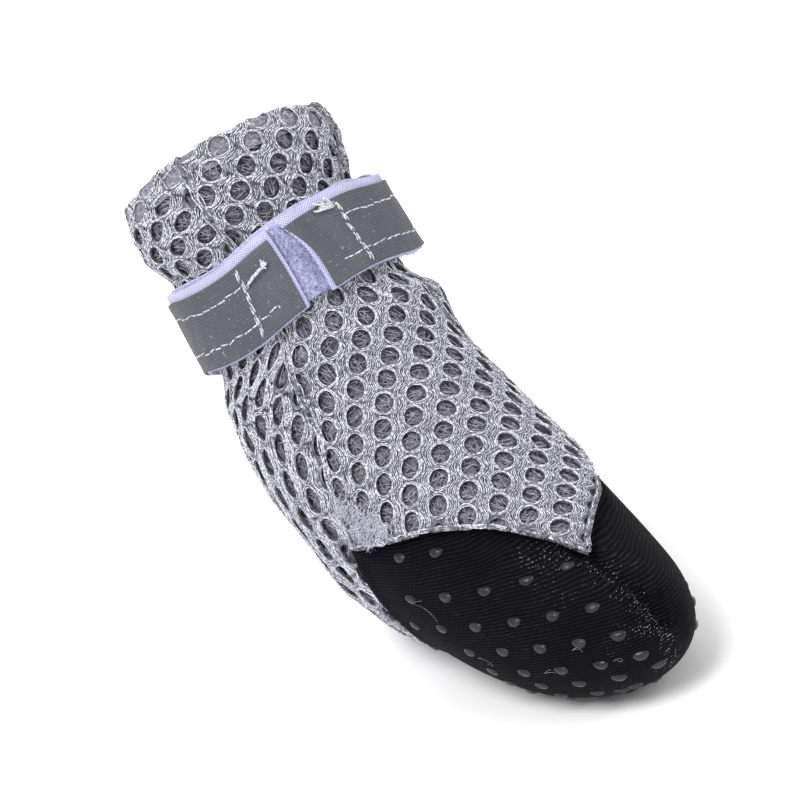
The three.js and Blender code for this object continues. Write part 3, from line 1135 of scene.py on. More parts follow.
@dataclass(frozen=True)
class LoopCloth:
    """Lavender hook-and-loop cloth: a ribbed ground under short fuzz."""

    ground: Colour = tone(176, 176, 212)
    light: Colour = tone(214, 214, 240)
    dark: Colour = tone(146, 146, 186)
    rib_pitch: float = 0.52

    def make(self, name: str, fuzz: float) -> bpy.types.Material:
        """The material.

        Args:
            name: The material's name.
            fuzz: 0 for a smooth woven edge, 1 for a brushed face.

        Returns:
            The material.
        """
        material, bench, shader = new_material(
            name, Roughness=0.85, Sheen_Weight=0.5, Sheen_Roughness=0.4, Specular_IOR_Level=0.3
        )
        grain = bench.cloth_map("Grain")
        parts = bench.split(grain)
        rows = bench.wave(parts[1], self.rib_pitch / 0.9)
        weave = bench.math("MULTIPLY", bench.wave(parts[0], self.rib_pitch), rows)
        curls = bench.noise(bench.millimetres(), 1.7, 3.0, 1.2)
        level = bench.weigh(fuzz, bench.between(weave, -1, 1), curls)
        slow = EffectGroups.mottled(bench, bench.millimetres(), 5.0)
        colour = bench.blend(bench.between(level, 0.35, 0.6), self.dark, self.ground)
        colour = bench.blend(bench.between(level, 0.6, 0.75), colour, self.light)
        colour = bench.blend(bench.math("MULTIPLY", slow["Tone"], 0.25), colour, self.light)
        bench.put(shader.inputs["Base Color"], colour)
        bench.put(shader.inputs["Normal"], bench.bump(level, 0.3, 0.7))
        return material


@dataclass(frozen=True)
class ReflectiveTape:
    """Grey tape with fine lengthwise ribs and a faint glassy sheen."""

    ground: Colour = tone(68, 70, 77)
    shade: Colour = tone(57, 58, 65)
    line: Colour = tone(106, 108, 116)
    bead: Colour = tone(180, 180, 188)
    rib_pitch: float = 0.68

    def make(self) -> bpy.types.Material:
        """The material.

        Returns:
            The material.
        """
        material, bench, shader = new_material("reflective_tape", Specular_IOR_Level=0.6)
        grain = bench.cloth_map("Grain")
        wave = bench.wave(bench.split(grain)[1], self.rib_pitch)
        broken = bench.noise(bench.stretched(grain, 2.2, 1.2), 1.0, 2.0)
        lines = bench.math("MULTIPLY", bench.between(wave, 0.55, 1.0), bench.between(broken, 0.35, 0.6))
        slow = EffectGroups.mottled(bench, bench.millimetres(), 7.0)
        beads = bench.noise(bench.millimetres(), 5.0, 1.0)
        colour = bench.blend(bench.math("MULTIPLY", slow["Tone"], 0.45), self.ground, self.shade)
        colour = bench.blend(bench.math("MULTIPLY", lines, 0.4), colour, self.line)
        colour = bench.blend(bench.math("MULTIPLY", slow["Dust"], 0.4), colour, self.bead)
        bench.put(shader.inputs["Base Color"], colour)
        bench.put(shader.inputs["Roughness"], bench.between(beads, 0.3, 0.7, 0.5, 0.7))
        bench.put(shader.inputs["Metallic"], bench.between(beads, 0.3, 0.7, 0.0, 0.15))
        bench.put(shader.inputs["Normal"], bench.bump(wave, 0.02, 0.8))
        return material


@dataclass(frozen=True)
class SewingThread:
    """Twisted polyester thread."""

    light: Colour = tone(224, 224, 230)
    dark: Colour = tone(128, 128, 138)

    def make(self) -> bpy.types.Material:
        """The material.

        Returns:
            The material.
        """
        material, bench, shader = new_material(
            "sewing_thread", Roughness=0.55, Sheen_Weight=0.2, Sheen_Roughness=0.4
        )
        twist = bench.noise(bench.stretched(bench.millimetres(), 3.0, 3.0, 35), 1.3, 2.0)
        colour = bench.blend(bench.between(twist, 0.35, 0.62), self.dark, self.light)
        bench.put(shader.inputs["Base Color"], colour)
        bench.put(shader.inputs["Normal"], bench.bump(twist, 0.12, 0.8))
        return material


@dataclass
class Finishes:
    """All the boot's materials, made once."""

    mesh: bpy.types.Material = field(default_factory=lambda: MeshYarn().make())
    strand: bpy.types.Material = field(default_factory=lambda: StrandYarn().make())
    filament: bpy.types.Material = field(
        default_factory=lambda: StrandYarn(tone(188, 187, 198), tone(120, 119, 130)).make("filament_yarn")
    )
    fray: bpy.types.Material = field(
        default_factory=lambda: StrandYarn(tone(222, 222, 234), tone(176, 176, 192)).make("frayed_yarn")
    )
    lining: bpy.types.Material = field(default_factory=lambda: LiningNet().make("lining_net"))
    hem: bpy.types.Material = field(
        default_factory=lambda: LiningNet(
            tone(118, 117, 128), tone(196, 195, 206), tone(92, 90, 100)
        ).make("hem_net")
    )
    knit: bpy.types.Material = field(default_factory=lambda: GripKnit().make())
    dot: bpy.types.Material = field(default_factory=lambda: GripDot().make())
    loop: bpy.types.Material = field(default_factory=lambda: LoopCloth().make("loop_cloth", 1.0))
    webbing: bpy.types.Material = field(default_factory=lambda: LoopCloth().make("hook_webbing", 0.25))
    tape: bpy.types.Material = field(default_factory=lambda: ReflectiveTape().make())
    thread: bpy.types.Material = field(default_factory=lambda: SewingThread().make())


class PanelKind(Enum):
    """The mesh sock's two panels."""

    FRONT = "front"
    BACK = "back"


@dataclass
class MeshPanel:
    """One panel of open air mesh, with its holes, its ring yarns and its bands of strands."""

    last: Last
    relief: Relief
    kind: PanelKind
    hole_radius: float = 1.95
    ring_radius: float = 2.28
    column_pitch: float = 4.95  # hole to hole down a column
    column_width: float = 6.3  # column to column
    thickness: float = 0.65
    hem_round: float = 1.05
    inner_fold: float = 5.0
    flank_draw: float = 0.12
    yarn_radii: tuple[float, float] = (2.1, 2.38)
    strand_pitch: float = 0.46
    heel_draw: float = 0.6
    seed: int = 11

    def __post_init__(self) -> None:
        """Measures the last once: lengths along it and round it."""
        self.front = self.kind is PanelKind.FRONT
        self.tilt = math.radians(46 if self.front else -38)
        self.panel = self.relief.panel_step if self.front else 0.0
        self.random = np.random.default_rng(self.seed)
        self.grid = np.linspace(0, self.last.collar, 281)
        middle = 0.0 if self.front else math.radians(110)
        line = self.last.point(self.grid, np.full(281, middle))
        draw = 0.0 if self.front else self.heel_draw * (1 - smooth(self.grid[1:], 9.6, 11.2))
        steps = np.linalg.norm(np.diff(line, axis=0), axis=1) / (1 + draw)
        self.lengths = np.concatenate([[0], np.cumsum(steps)])
        turns = np.radians(np.linspace(0, 180, 181))
        rings = self.last.point(self.grid[:, None], turns[None])
        arcs = np.concatenate(
            [np.zeros((281, 1)), np.cumsum(np.linalg.norm(np.diff(rings, axis=1), axis=2), axis=1)], axis=1
        )
        self.girth = np.maximum(arcs[:, -1], 1e-3)
        shares = np.linspace(0, 1, 201)
        self.turn_at = np.stack(
            [np.interp(shares, arcs[i] / self.girth[i], np.linspace(0, 180, 181)) for i in range(281)]
        )

    def degrees_at(self, section: Array, share: Array) -> Array:
        """The angle at a share of the half girth from the top.

        Args:
            section: Places along the last, in sections.
            share: The share, from 0 to 1.

        Returns:
            Degrees.
        """
        a = np.clip(section, 0, self.last.collar) / self.last.collar * 280
        b = np.clip(share, 0, 1) * 200
        i, j = np.minimum(a.astype(int), 279), np.minimum(b.astype(int), 199)
        s, t = a - i, b - j
        low = self.turn_at[i, j] * (1 - t) + self.turn_at[i, j + 1] * t
        high = self.turn_at[i + 1, j] * (1 - t) + self.turn_at[i + 1, j + 1] * t
        return low * (1 - s) + high * s

    def drawn(self, around: Array) -> Array:
        """The cloth's width as the back panel's fit draws it out, most of all over the right flank."""
        return around if self.front else 1.12 * around + self.flank_draw * np.maximum(around - 15, 0)

    def on_last(self, along: Array, around: Array) -> tuple[Array, Array]:
        """A place of the flat panel, brought to the last.

        Args:
            along: Millimetres along the panel from the toe.
            around: Millimetres round the foot from the panel's middle, positive to the right.

        Returns:
            Section and degrees, not yet kept inside the panel's edges.
        """
        pitch = (self.lengths[-1] - self.lengths[-2]) / (self.grid[-1] - self.grid[-2])
        section = np.interp(along, self.lengths, self.grid)
        section = section + np.maximum(along - self.lengths[-1], 0) / pitch
        half = np.interp(section, self.grid, self.girth)
        around = self.drawn(around)
        share = np.abs(around) / half
        if self.front:
            return section, np.sign(around) * self.degrees_at(section, share)
        side = np.where(around >= 0, 1.0, -1.0)
        return section, side * self.degrees_at(section, 1 - share)

    def back_limit(self, section: Array, degrees: Array) -> Array:
        """The angle, without its sign, where the back panel starts; the flank begins further forward."""
        return np.where(section < 8.0, 66, self.relief.seam_near(section, degrees))

    def outside_by(self, section: Array, degrees: Array) -> Array:
        """Millimetres that a place lies outside the panel, 0 or less within it.

        Args:
            section: Places along the last, in sections.
            degrees: Angles round the section.

        Returns:
            Millimetres.
        """
        girth = np.interp(section, self.grid, self.girth) / 180
        over_rim = (section - self.relief.rim_at(degrees)) * self.relief.section_pitch
        over_rim = over_rim - (math.pi * self.hem_round + self.inner_fold)
        if self.front:
            right, left = (self.relief.seam_at(section, side) for side in (Side.RIGHT, Side.LEFT))
            turned = np.maximum(degrees - right, -degrees - left) * girth
            under = (4.5 - section) * 12
        else:
            turned = (self.back_limit(section, degrees) - np.abs(degrees)) * girth
            under = (self.relief.edge_at(degrees) - section) * 14
        return np.maximum(np.maximum(turned, under), over_rim)

    def kept_inside(self, section: Array, degrees: Array) -> tuple[Array, Array]:
        """Places moved to the panel's edge where they lie beyond it.

        Args:
            section: Places along the last, in sections.
            degrees: Angles round the section.

        Returns:
            Sections and degrees.
        """
        if self.front:
            right, left = (self.relief.seam_at(section, side) for side in (Side.RIGHT, Side.LEFT))
            return np.maximum(section, 4.5), np.clip(degrees, -left, right)
        turned = np.maximum(np.abs(degrees), self.back_limit(section, degrees))
        degrees = np.where(degrees >= 0, 1, -1) * turned
        return np.maximum(section, self.relief.edge_at(degrees)), degrees

    def surface(self, section: Array, degrees: Array, height: Array) -> Array:
        """Points of the cloth, which rolls over the rim and down inside.

        Args:
            section: Place along the foot.
            degrees: Place round the foot.
            height: Millimetres off the cloth's face.

        Returns:
            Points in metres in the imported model's frame.
        """
        pitch = self.last.spacing(np.full_like(section, self.last.collar - 0.5), degrees)
        rim = self.relief.rim_at(degrees)
        start = rim - self.hem_round / pitch
        past = np.maximum((section - start) * pitch, 0)
        turn = np.minimum(past / self.hem_round, math.pi)
        down = np.maximum(past - math.pi * self.hem_round, 0)
        before = np.minimum(section, start)
        base = self.relief.outside(before, degrees, self.panel)
        radius = self.hem_round + height
        place = before + (radius * np.sin(turn) - down) / pitch * (past > 0)
        distance = base - self.hem_round + radius * np.cos(turn)
        return self.last.laid(place, degrees, distance, 0.1)

    def layout(self) -> tuple[Array, Array, Array]:
        """The flat panel's middle hole, the way down a column and the way to the next column.

        Returns:
            Three pairs, in millimetres along and around.
        """
        down = np.array([-math.cos(self.tilt), math.sin(self.tilt)])
        aside = np.array([-math.sin(self.tilt), -math.cos(self.tilt)])
        return np.array([self.lengths[-1] * 0.6, 1.2]), down, aside

    def within(self, flat: Array) -> Array:
        """Which places on the flat lie inside the panel's girth."""
        half = np.interp(np.interp(flat[:, 0], self.lengths, self.grid), self.grid, self.girth)
        return np.abs(self.drawn(flat[:, 1])) < half

    def centres(self) -> Array:
        """The holes' places on the flat panel, column by column, as millimetres along and around.

        Returns:
            One row for each hole.
        """
        origin, down, aside = self.layout()
        count = 60
        i, j = np.meshgrid(np.arange(-count, count), np.arange(-count, count), indexing="ij")
        places = (i + 0.5 * (j % 2))[..., None] * self.column_pitch * down
        places = places + j[..., None] * self.column_width * aside
        places = places.reshape(-1, 2) + origin
        size = np.array([self.lengths[-1] + 14, np.max(self.girth)])
        keep = (places[:, 0] > 0) & (places[:, 0] < size[0]) & (np.abs(places[:, 1]) < size[1])
        places = places[keep]
        if not self.front:
            places = places[self.within(places)]
        section, degrees = self.on_last(places[:, 0], places[:, 1])
        return places[self.outside_by(section, degrees) < 1.9]

    def cell(self) -> tuple[Array, Array]:
        """One cell of the mesh, modelled flat: a round hole in a six-sided patch.

        Returns:
            Points (down the column, across it, height) and quads.
        """
        p, h = self.column_pitch, self.column_width
        tip, shoulder = (p * p / 4 + h * h) / (2 * h), (h * h - p * p / 4) / (2 * h)
        right = [(p / 2, -shoulder), (p / 2, shoulder), (0, tip)]
        corners = np.array(right + [(-x, -y) for x, y in right])
        edge = []
        for a, b, parts in zip(corners, np.roll(corners, -1, 0), (4, 3, 3, 4, 3, 3)):
            edge += [a + (b - a) * part / parts for part in range(parts)]
        edge = np.array(edge)
        count = len(edge)
        turn = np.unwrap(np.arctan2(edge[:, 1], edge[:, 0]))
        evenly = turn.mean() + (np.arange(count) - (count - 1) / 2) * 2 * np.pi / count
        turn = turn * 0.35 + evenly * 0.65
        circle = np.stack([np.cos(turn), np.sin(turn)], -1)
        middle = 0.5 * edge + 0.5 * circle * (self.ring_radius + 0.15)
        yarn, hole = circle * self.ring_radius, circle * self.hole_radius
        rings = (edge, -0.12), (middle, 0.0), (yarn, 0.2), (hole, -0.08)
        points = np.concatenate([np.c_[ring, np.full(count, height)] for ring, height in rings])
        here = np.arange(count)
        after = (here + 1) % count
        first = np.stack([here, after, count + after, count + here], -1)
        return points, np.concatenate([first + count * ring for ring in range(len(rings) - 1)])

    def to_flat(self, centres: Array, offsets: Array) -> tuple[Array, Array]:
        """Offsets down and across the columns, as millimetres along and around the flat panel.

        Args:
            centres: The holes' centres, in millimetres along and around.
            offsets: Places down and across the columns, in millimetres from a centre.

        Returns:
            Millimetres along, and around.
        """
        _, down, aside = self.layout()
        flat = centres[:, None] + offsets[None, :, :1] * down + offsets[None, :, 1:] * aside
        return flat[..., 0], flat[..., 1]

    def make_net(self, material: bpy.types.Material) -> bpy.types.Object:
        """The open mesh itself, with a wall round each hole.

        Args:
            material: The yarn's material.

        Returns:
            The piece.
        """
        points, quads = self.cell()
        centres = self.centres()
        along, around = self.to_flat(centres, points[:, :2])
        section, degrees = self.on_last(along, around)
        section, degrees = self.kept_inside(section, degrees)
        placed = self.surface(section, degrees, np.broadcast_to(points[:, 2], section.shape))
        count = len(points)
        faces = (quads[None] + (np.arange(len(centres)) * count)[:, None, None]).reshape(-1, 4)
        piece = Workbench.from_faces(f"mesh_{self.kind.value}", placed.reshape(-1, 3), faces)
        grain = [(along * way[0] + around * way[1]).ravel() for way in self.layout()[1:]]
        Workbench.lay_map(piece, "Grain", *grain)
        local = np.broadcast_to(points[:, :2], (len(centres), count, 2))
        Workbench.lay_map(piece, "Cell", local[..., 0].ravel(), local[..., 1].ravel())
        Workbench.weld(piece, 0.00004, 0.00003)
        self.face_out(piece)
        Workbench.modify(
            piece, "SOLIDIFY", thickness=self.thickness * MM, offset=-1.0, use_quality_normals=True
        )
        Workbench.soften(piece, 75)
        return Workbench.finish(piece, material, "air_mesh", "upper")

    def face_out(self, piece: bpy.types.Object) -> None:
        """Turns the sheet's faces away from the leg and the foot.

        Args:
            piece: The mesh object.
        """
        normals = np.array([face.normal for face in piece.data.polygons])
        middles = np.array([face.center for face in piece.data.polygons])
        shift = np.array([*self.last.shift, 0]) * MM
        spine = (self.last.point(self.grid, 0.0) + self.last.point(self.grid, math.pi))[::8] / 2 * MM + shift
        nearest = np.argmin(((middles[:, None, 1:] - spine[None, :, 1:]) ** 2).sum(2), axis=1)
        outward = ((middles - spine[nearest]) * normals).sum(1)
        if (outward < 0).mean() > 0.5:
            piece.data.flip_normals()

    def ring_yarns(self, material: bpy.types.Material) -> bpy.types.Object:
        """Two yarns round each hole, each a little off true.

        Args:
            material: The yarn's material.

        Returns:
            The piece.
        """
        paths: list[Array] = []
        turn = np.linspace(0, 2 * np.pi, 19)
        for centre in self.centres():
            for radius in self.yarn_radii:
                wobble = 1 + 0.035 * np.sin(2 * turn + self.random.uniform(0, 6.3))
                wobble = wobble + 0.02 * np.sin(5 * turn + self.random.uniform(0, 6.3))
                wobble[-1] = wobble[0]
                offsets = np.stack([np.cos(turn), np.sin(turn)], -1) * (radius * wobble)[:, None]
                along, around = self.to_flat(centre[None], offsets)
                section, degrees = self.on_last(along[0], around[0])
                if self.outside_by(section, degrees).max() > 0.9:
                    continue
                section, degrees = self.kept_inside(section, degrees)
                height = 0.2 + 0.1 * np.sin(3 * turn + self.random.uniform(0, 6.3))
                placed = self.surface(section, degrees, height)
                if self.even(placed):
                    paths.append(placed)
        return Workbench.threads(f"ring_yarns_{self.kind.value}", paths, 0.125, 4, material, "air_mesh")

    def band_strands(self, material: bpy.types.Material) -> bpy.types.Object:
        """Wavy strands between the columns of holes.

        Args:
            material: The yarn's material.

        Returns:
            The piece.
        """
        origin, down, aside = self.layout()
        run = np.arange(-130, 130, 0.75)
        paths: list[Array] = []
        for column in range(-40, 40):
            for strand in range(5):
                phase = self.random.uniform(-0.18, 0.18)
                across = (strand - 2) * self.strand_pitch
                swing = 0.66 - 0.08 * abs(strand - 2)
                # Each band bends away from the holes on both of its sides in turn.
                shift = 0.5 * (column % 2)
                wave = swing * np.cos(2 * np.pi * (run / self.column_pitch - shift) + phase)
                wave = wave + 0.1 * np.sin(run * 3.1 + self.random.uniform(0, 6.3))
                sideways = (column + 0.5) * self.column_width + across + wave
                flat = origin + run[:, None] * down + sideways[:, None] * aside
                inside = (flat[:, 0] > 2) & (flat[:, 0] < self.lengths[-1] + 9)
                inside &= self.within(flat)
                section, degrees = self.on_last(flat[:, 0], flat[:, 1])
                inside &= self.outside_by(section, degrees) < 0.1
                height = 0.1 + 0.12 * np.sin(run * 1.9 + self.random.uniform(0, 6.3)) + 0.05 * (strand % 2)
                placed = self.surface(section, degrees, height)
                for part in self.runs(inside):
                    if len(part) > 3 and self.even(placed[part]):
                        paths.append(placed[part])
        return Workbench.threads(f"band_strands_{self.kind.value}", paths, 0.15, 3, material, "air_mesh")

    @staticmethod
    def even(path: Array) -> bool:
        """Whether a yarn has no leap in it, in metres."""
        return float(np.linalg.norm(np.diff(path, axis=0), axis=1).max()) < 0.0024

    @staticmethod
    def runs(inside: Array) -> list[Array]:
        """The unbroken runs of places that are inside."""
        index = np.flatnonzero(inside)
        return [] if not len(index) else np.split(index, np.flatnonzero(np.diff(index) > 1) + 1)

    def filaments(self, material: bpy.types.Material) -> bpy.types.Object:
        """Fine spacer filaments that cross each hole, below the yarns.

        Args:
            material: The yarn's material.

        Returns:
            The piece.
        """
        paths: list[Array] = []
        share = np.linspace(-1, 1, 5)
        for centre in self.centres():
            lean = self.random.uniform(0.9, 2.2)
            for _ in range(7):
                turn = lean + self.random.normal(0, 0.45)
                away = self.random.uniform(-1.5, 1.5)
                reach = math.sqrt(2.15**2 - away**2) * self.random.uniform(0.75, 1.0)
                run = share * reach
                bow = away + self.random.normal(0, 0.3) * (1 - share**2)
                ahead = np.array([math.cos(turn), math.sin(turn)])
                aside = np.array([-ahead[1], ahead[0]])
                offsets = run[:, None] * ahead + bow[:, None] * aside
                along, around = self.to_flat(centre[None], offsets)
                section, degrees = self.on_last(along[0], around[0])
                if self.outside_by(section, degrees).max() > -0.2:
                    continue
                height = -0.55 - 0.45 * self.random.uniform(0, 1) * (1 - share**2)
                paths.append(self.surface(section, degrees, height))
        return Workbench.threads(f"spacer_filaments_{self.kind.value}", paths, 0.075, 3, material, "air_mesh")

    def build(self, finishes: Finishes) -> None:
        """Makes the panel's pieces.

        Args:
            finishes: The boot's materials.
        """
        self.make_net(finishes.mesh)
        self.ring_yarns(finishes.strand)
        self.band_strands(finishes.strand)
        self.filaments(finishes.filament)


@dataclass
class Lining:
    """The sock's thin inner layer, one smooth tube from the pouch to the hem."""

    last: Last
    relief: Relief
    depth: float = 1.35
    thickness: float = 0.35
    below_rim: float = 2.6
    hem_round: float = 1.05
    hem_depth: float = 0.25
    hem_outside: float = 4.4
    hem_inside: float = 5.0

    def build(self, finishes: Finishes) -> bpy.types.Object:
        """The lining.

        Args:
            finishes: The boot's materials.

        Returns:
            The piece.
        """
        piece, around, along = Workbench.cloth_grid("lining", 168, 96)
        degrees = around * 360
        end = self.relief.rim_at(degrees) - self.below_rim / self.relief.section_pitch
        start = self.relief.edge_at(degrees) + 0.04
        section = start + (end - start) * along
        seams = self.relief.panel_step * (1 - smooth(section, 8.2, 9.5)) * self.relief.point_share(degrees)
        base = self.relief.outside(section, degrees, 0.0) + seams
        points = self.last.skin(section, degrees, base - self.depth, 0.5)
        Workbench.move_points(piece, self.last.placed(points))
        Workbench.lay_map(piece, "Grain", degrees * 0.36, section * 12)
        Workbench.weld(piece)
        Workbench.turn_out(piece)
        Workbench.modify(piece, "SOLIDIFY", thickness=self.thickness * MM, offset=-1.0)
        Workbench.soften(piece)
        self.build_hem(finishes)
        return Workbench.finish(piece, finishes.lining, "air_mesh")

    def build_hem(self, finishes: Finishes) -> bpy.types.Object:
        """The turned hem's inner layer, which rounds the rim under the open mesh.

        Args:
            finishes: The boot's materials.

        Returns:
            The piece.
        """
        piece, around, along = Workbench.cloth_grid("hem_lining", 180, 22)
        degrees = around * 360
        pitch = self.last.spacing(np.full_like(degrees, self.last.collar - 0.5), degrees)
        start = self.relief.rim_at(degrees) - self.hem_round / pitch
        run = self.hem_outside + math.pi * self.hem_round + self.hem_inside
        past = along * run - self.hem_outside
        turn = np.clip(past / self.hem_round, 0, math.pi)
        down = np.maximum(past - math.pi * self.hem_round, 0)
        before = start + np.minimum(past, 0) / pitch
        radius = self.hem_round - self.hem_depth
        place = before + (radius * np.sin(turn) - down) / pitch
        base = self.relief.outside(before, degrees, 0.2)
        distance = base - self.hem_round + radius * np.cos(turn)
        Workbench.move_points(piece, self.last.laid(place, degrees, distance))
        Workbench.lay_map(piece, "Grain", degrees * 0.36, past)
        Workbench.weld(piece)
        Workbench.turn_out(piece)
        Workbench.soften(piece)
        return Workbench.finish(piece, finishes.hem, "air_mesh")


@dataclass
class MeshEdges:
    """The yarn border of the front panel, its side seams and the frayed thread at the seam's end."""

    last: Last
    relief: Relief
    seed: int = 5

    def border(self) -> list[Array]:
        """Two wavy yarns along the edge of the front panel's point.

        Returns:
            The threads' paths, in metres.
        """
        paths = []
        turn = np.linspace(-76, 76, 240)
        base = self.relief.edge_at(turn)
        for offset, rise, phase in ((0.0, 0.1, 0.0), (0.03, 0.25, 2.0), (-0.02, -0.15, 4.0)):
            section = base + offset + 0.008 * np.sin(turn * 1.3 + phase)
            height = self.relief.outside(section, turn, self.relief.panel_step) + rise
            paths.append(self.last.laid(section, turn, height - 0.2))
        return paths

    def side_seams(self) -> list[Array]:
        """Overlock threads that zigzag across each side seam.

        Returns:
            The threads' paths, in metres.
        """
        paths = []
        for side in Side:
            section = np.linspace(8.1, float(self.relief.rim_at(side.value * 44.0)) - 0.14, 300)
            seam = self.relief.seam_at(section, side)
            for offset, turns in ((-2.2, 1.7), (-1.0, 2.3), (0.2, 1.3), (1.3, 2.0)):
                wave = 0.5 * np.sin(section * turns * 9 + offset)
                degrees = side.value * (seam + offset + wave)
                height = self.relief.outside(section, degrees, self.relief.panel_step * 0.7) + 0.12
                paths.append(self.last.laid(section, degrees, height))
        return paths

    def frayed_end(self) -> list[Array]:
        """Loose fine threads at the right side seam's lower end.

        Returns:
            The threads' paths, in metres.
        """
        random = np.random.default_rng(self.seed)
        paths = []
        steps = np.linspace(0, 1, 9)
        for k in range(240):
            # Two clumps: one up the seam and a bushier one at its very end.
            low = k % 3 > 0
            section = random.normal(7.72, 0.13) if low else random.normal(8.2, 0.14)
            degrees = random.normal(59.0, 3.4) if low else random.normal(60.5, 1.8)
            drift = random.normal(0, 3.2)
            length = random.uniform(-0.08, 0.24)
            run = np.clip(section - steps * length + 0.03 * np.sin(steps * random.uniform(3, 9)), 7.25, 14)
            turn = degrees + drift * steps**1.5 + 1.8 * np.sin(steps * random.uniform(3, 10))
            height = self.relief.outside(run, turn, 0.5) + 0.25
            height = height + random.uniform(0.2, 1.7) * np.sin(np.pi * steps * random.uniform(0.6, 1.0))
            paths.append(self.last.laid(run, turn, height))
        bend = np.linspace(0, 2 * np.pi, 16)
        for _ in range(26):
            # Curls that hang over the pouch's edge just past the seam's end.
            size, phase = random.uniform(0.35, 1.0), random.uniform(0, 6.3)
            run = random.normal(7.33, 0.07) + 0.075 * size * np.sin(bend + phase)
            turn = random.normal(55.5, 1.9) + 2.3 * size * np.cos(bend + phase)
            height = self.relief.outside(run, turn, 0.5) + 0.5 + 0.6 * size * (1 + np.sin(bend * 0.8))
            paths.append(self.last.laid(run, turn, height))
        return paths

    def build(self, finishes: Finishes) -> None:
        """Makes the edge pieces.

        Args:
            finishes: The boot's materials.
        """
        threads = partial(Workbench.threads, slot="air_mesh")
        threads("panel_border", self.border(), 0.15, 6, finishes.strand)
        threads("side_seam_threads", self.side_seams(), 0.14, 4, finishes.strand)
        threads("frayed_seam_end", self.frayed_end(), 0.07, 4, finishes.fray, taper=True)


@dataclass
class GripPouch:
    """The black knitted pouch over the toe and forefoot, with its rubber dots."""

    last: Last
    relief: Relief
    wall: float = 1.3
    upper_wall: float = 2.0
    clearance: float = 0.4
    overlap: float = 4.5
    seed: int = 31
    seam_depth: float = 1.25
    seam_reach: float = 1.5
    floor_rise: float = 0.22
    dot_radius: float = 1.7
    dot_height: float = 0.62
    # Height at the toe, millimetres round to the first dot, dots to the right, dots to the left.
    dot_rows: tuple = (
        (37.4, 13.6, 3, 0),
        (30.4, 4.6, 5, 0),
        (25.6, 9.0, 6, 0),
        (20.9, 9.0, 5, 0),
        (15.9, 7.0, 5, 4),
        (11.8, 3.6, 5, 4),
        (7.4, 7.5, 4, 3),
        (3.6, 12.0, 4, 3),
    )
    dot_step: float = 8.1
    dot_widening: float = 0.3
    dot_tuck: float = 1.7

    def dip(self, section: Array, degrees: Array) -> Array:
        """How far the knit sinks where it runs under the front panel.

        Args:
            section: Places along the last, in sections.
            degrees: Angles round the section.

        Returns:
            Millimetres.
        """
        depth = self.upper_wall + self.clearance - self.relief.panel_step - self.relief.lift(section, degrees)
        to_edge = (self.relief.edge_at(degrees) - section) * self.relief.section_pitch
        return depth * self.relief.point_share(degrees) * (1 - smooth(to_edge, 0.6, 7))

    def seam(self, section: Array, degrees: Array) -> Array:
        """The toe seam's furrow with small puckers on both sides.

        Args:
            section: Places along the last, in sections.
            degrees: Angles round the section.

        Returns:
            Millimetres.
        """
        angle = np.radians(degrees)
        across = self.last.point(section, angle)[..., 0]
        on_top = smooth(np.cos(angle), 0, 0.4) * smooth(section, 0.3, 1.2)
        furrow = self.seam_depth * np.exp(-((across / self.seam_reach) ** 2))
        ripple = np.sin(section * 29 + np.sign(across) * 0.9) * np.exp(-(((np.abs(across) - 2.6) / 2.2) ** 2))
        return on_top * (furrow - 0.16 * ripple)

    def outside(self, section: Array, degrees: Array) -> Array:
        """The knit's outside, measured from the last."""
        return -self.dip(section, degrees) - self.seam(section, degrees)

    def end_at(self, degrees: Array) -> Array:
        """The section where the knit ends, hidden under the front panel.

        Args:
            degrees: Angles round the section.

        Returns:
            The section at each angle.
        """
        under = 1 - smooth(np.abs(wrapped(degrees)), 50, 62)
        reach = under * (self.overlap + self.clearance) - self.clearance + 0.5
        return self.relief.edge_at(degrees) + reach / self.relief.section_pitch

    def make_knit(self, finishes: Finishes) -> bpy.types.Object:
        """The pouch, closed at the toe and hemmed at its edge.

        Args:
            finishes: The boot's materials.

        Returns:
            The piece.
        """
        piece, around, along = Workbench.cloth_grid("sole_knit", 220, 110)
        degrees = around * 360
        section = self.end_at(degrees) * along**1.1
        hem = smooth(along, 0.975, 0.99) * (np.abs(wrapped(degrees)) > 70)
        distance = self.outside(section, degrees) + 0.35 * hem
        Workbench.move_points(piece, self.last.laid(section, degrees, distance, self.floor_rise))
        Workbench.weld(piece)
        Workbench.turn_out(piece)
        Workbench.modify(piece, "SOLIDIFY", thickness=self.wall * MM, offset=-1.0)
        Workbench.soften(piece, 70)
        return Workbench.finish(piece, finishes.knit, "grip_knit", "sole")

    def dot_places(self) -> list[tuple[float, float]]:
        """Section and degrees of each dot on the sides.

        Returns:
            A pair for each dot.
        """
        places: list[tuple[float, float]] = []
        grid = np.linspace(0.25, 8.0, 700)
        top = self.last.point(grid, 0.0)[:, 2]
        low = self.last.point(grid, math.pi)[:, 2]
        for height, first, right, left in self.dot_rows:
            reached = np.zeros(len(grid))
            for _ in range(2):
                level = height - 0.0022 * reached**2
                up = (level - low) / (top - low)
                ok = (up > 0.0) & (up < 1.0)
                degrees = np.degrees(np.arccos(np.clip(2 * up - 1, -1, 1)))
                line = self.last.point(grid, np.radians(degrees))
                steps = np.linalg.norm(np.diff(line, axis=0), axis=1) * (ok[1:] & ok[:-1])
                start = np.argmax(ok)
                reached = np.concatenate([[0], np.cumsum(steps)]) + abs(line[start, 0]) * ok
            for side, count in ((Side.RIGHT, right), (Side.LEFT, left)):
                for k in range(1 if side is Side.LEFT else 0, count):
                    at = first + self.dot_step * k + self.dot_widening * k * k
                    i = int(np.argmin(np.where(ok, np.abs(reached - at), 1e6)))
                    if abs(reached[i] - at) > 1.0:
                        continue
                    turn = side.value * degrees[i]
                    if grid[i] < self.relief.edge_at(turn) - 0.22:
                        places.append((float(grid[i]), float(turn)))
        return places

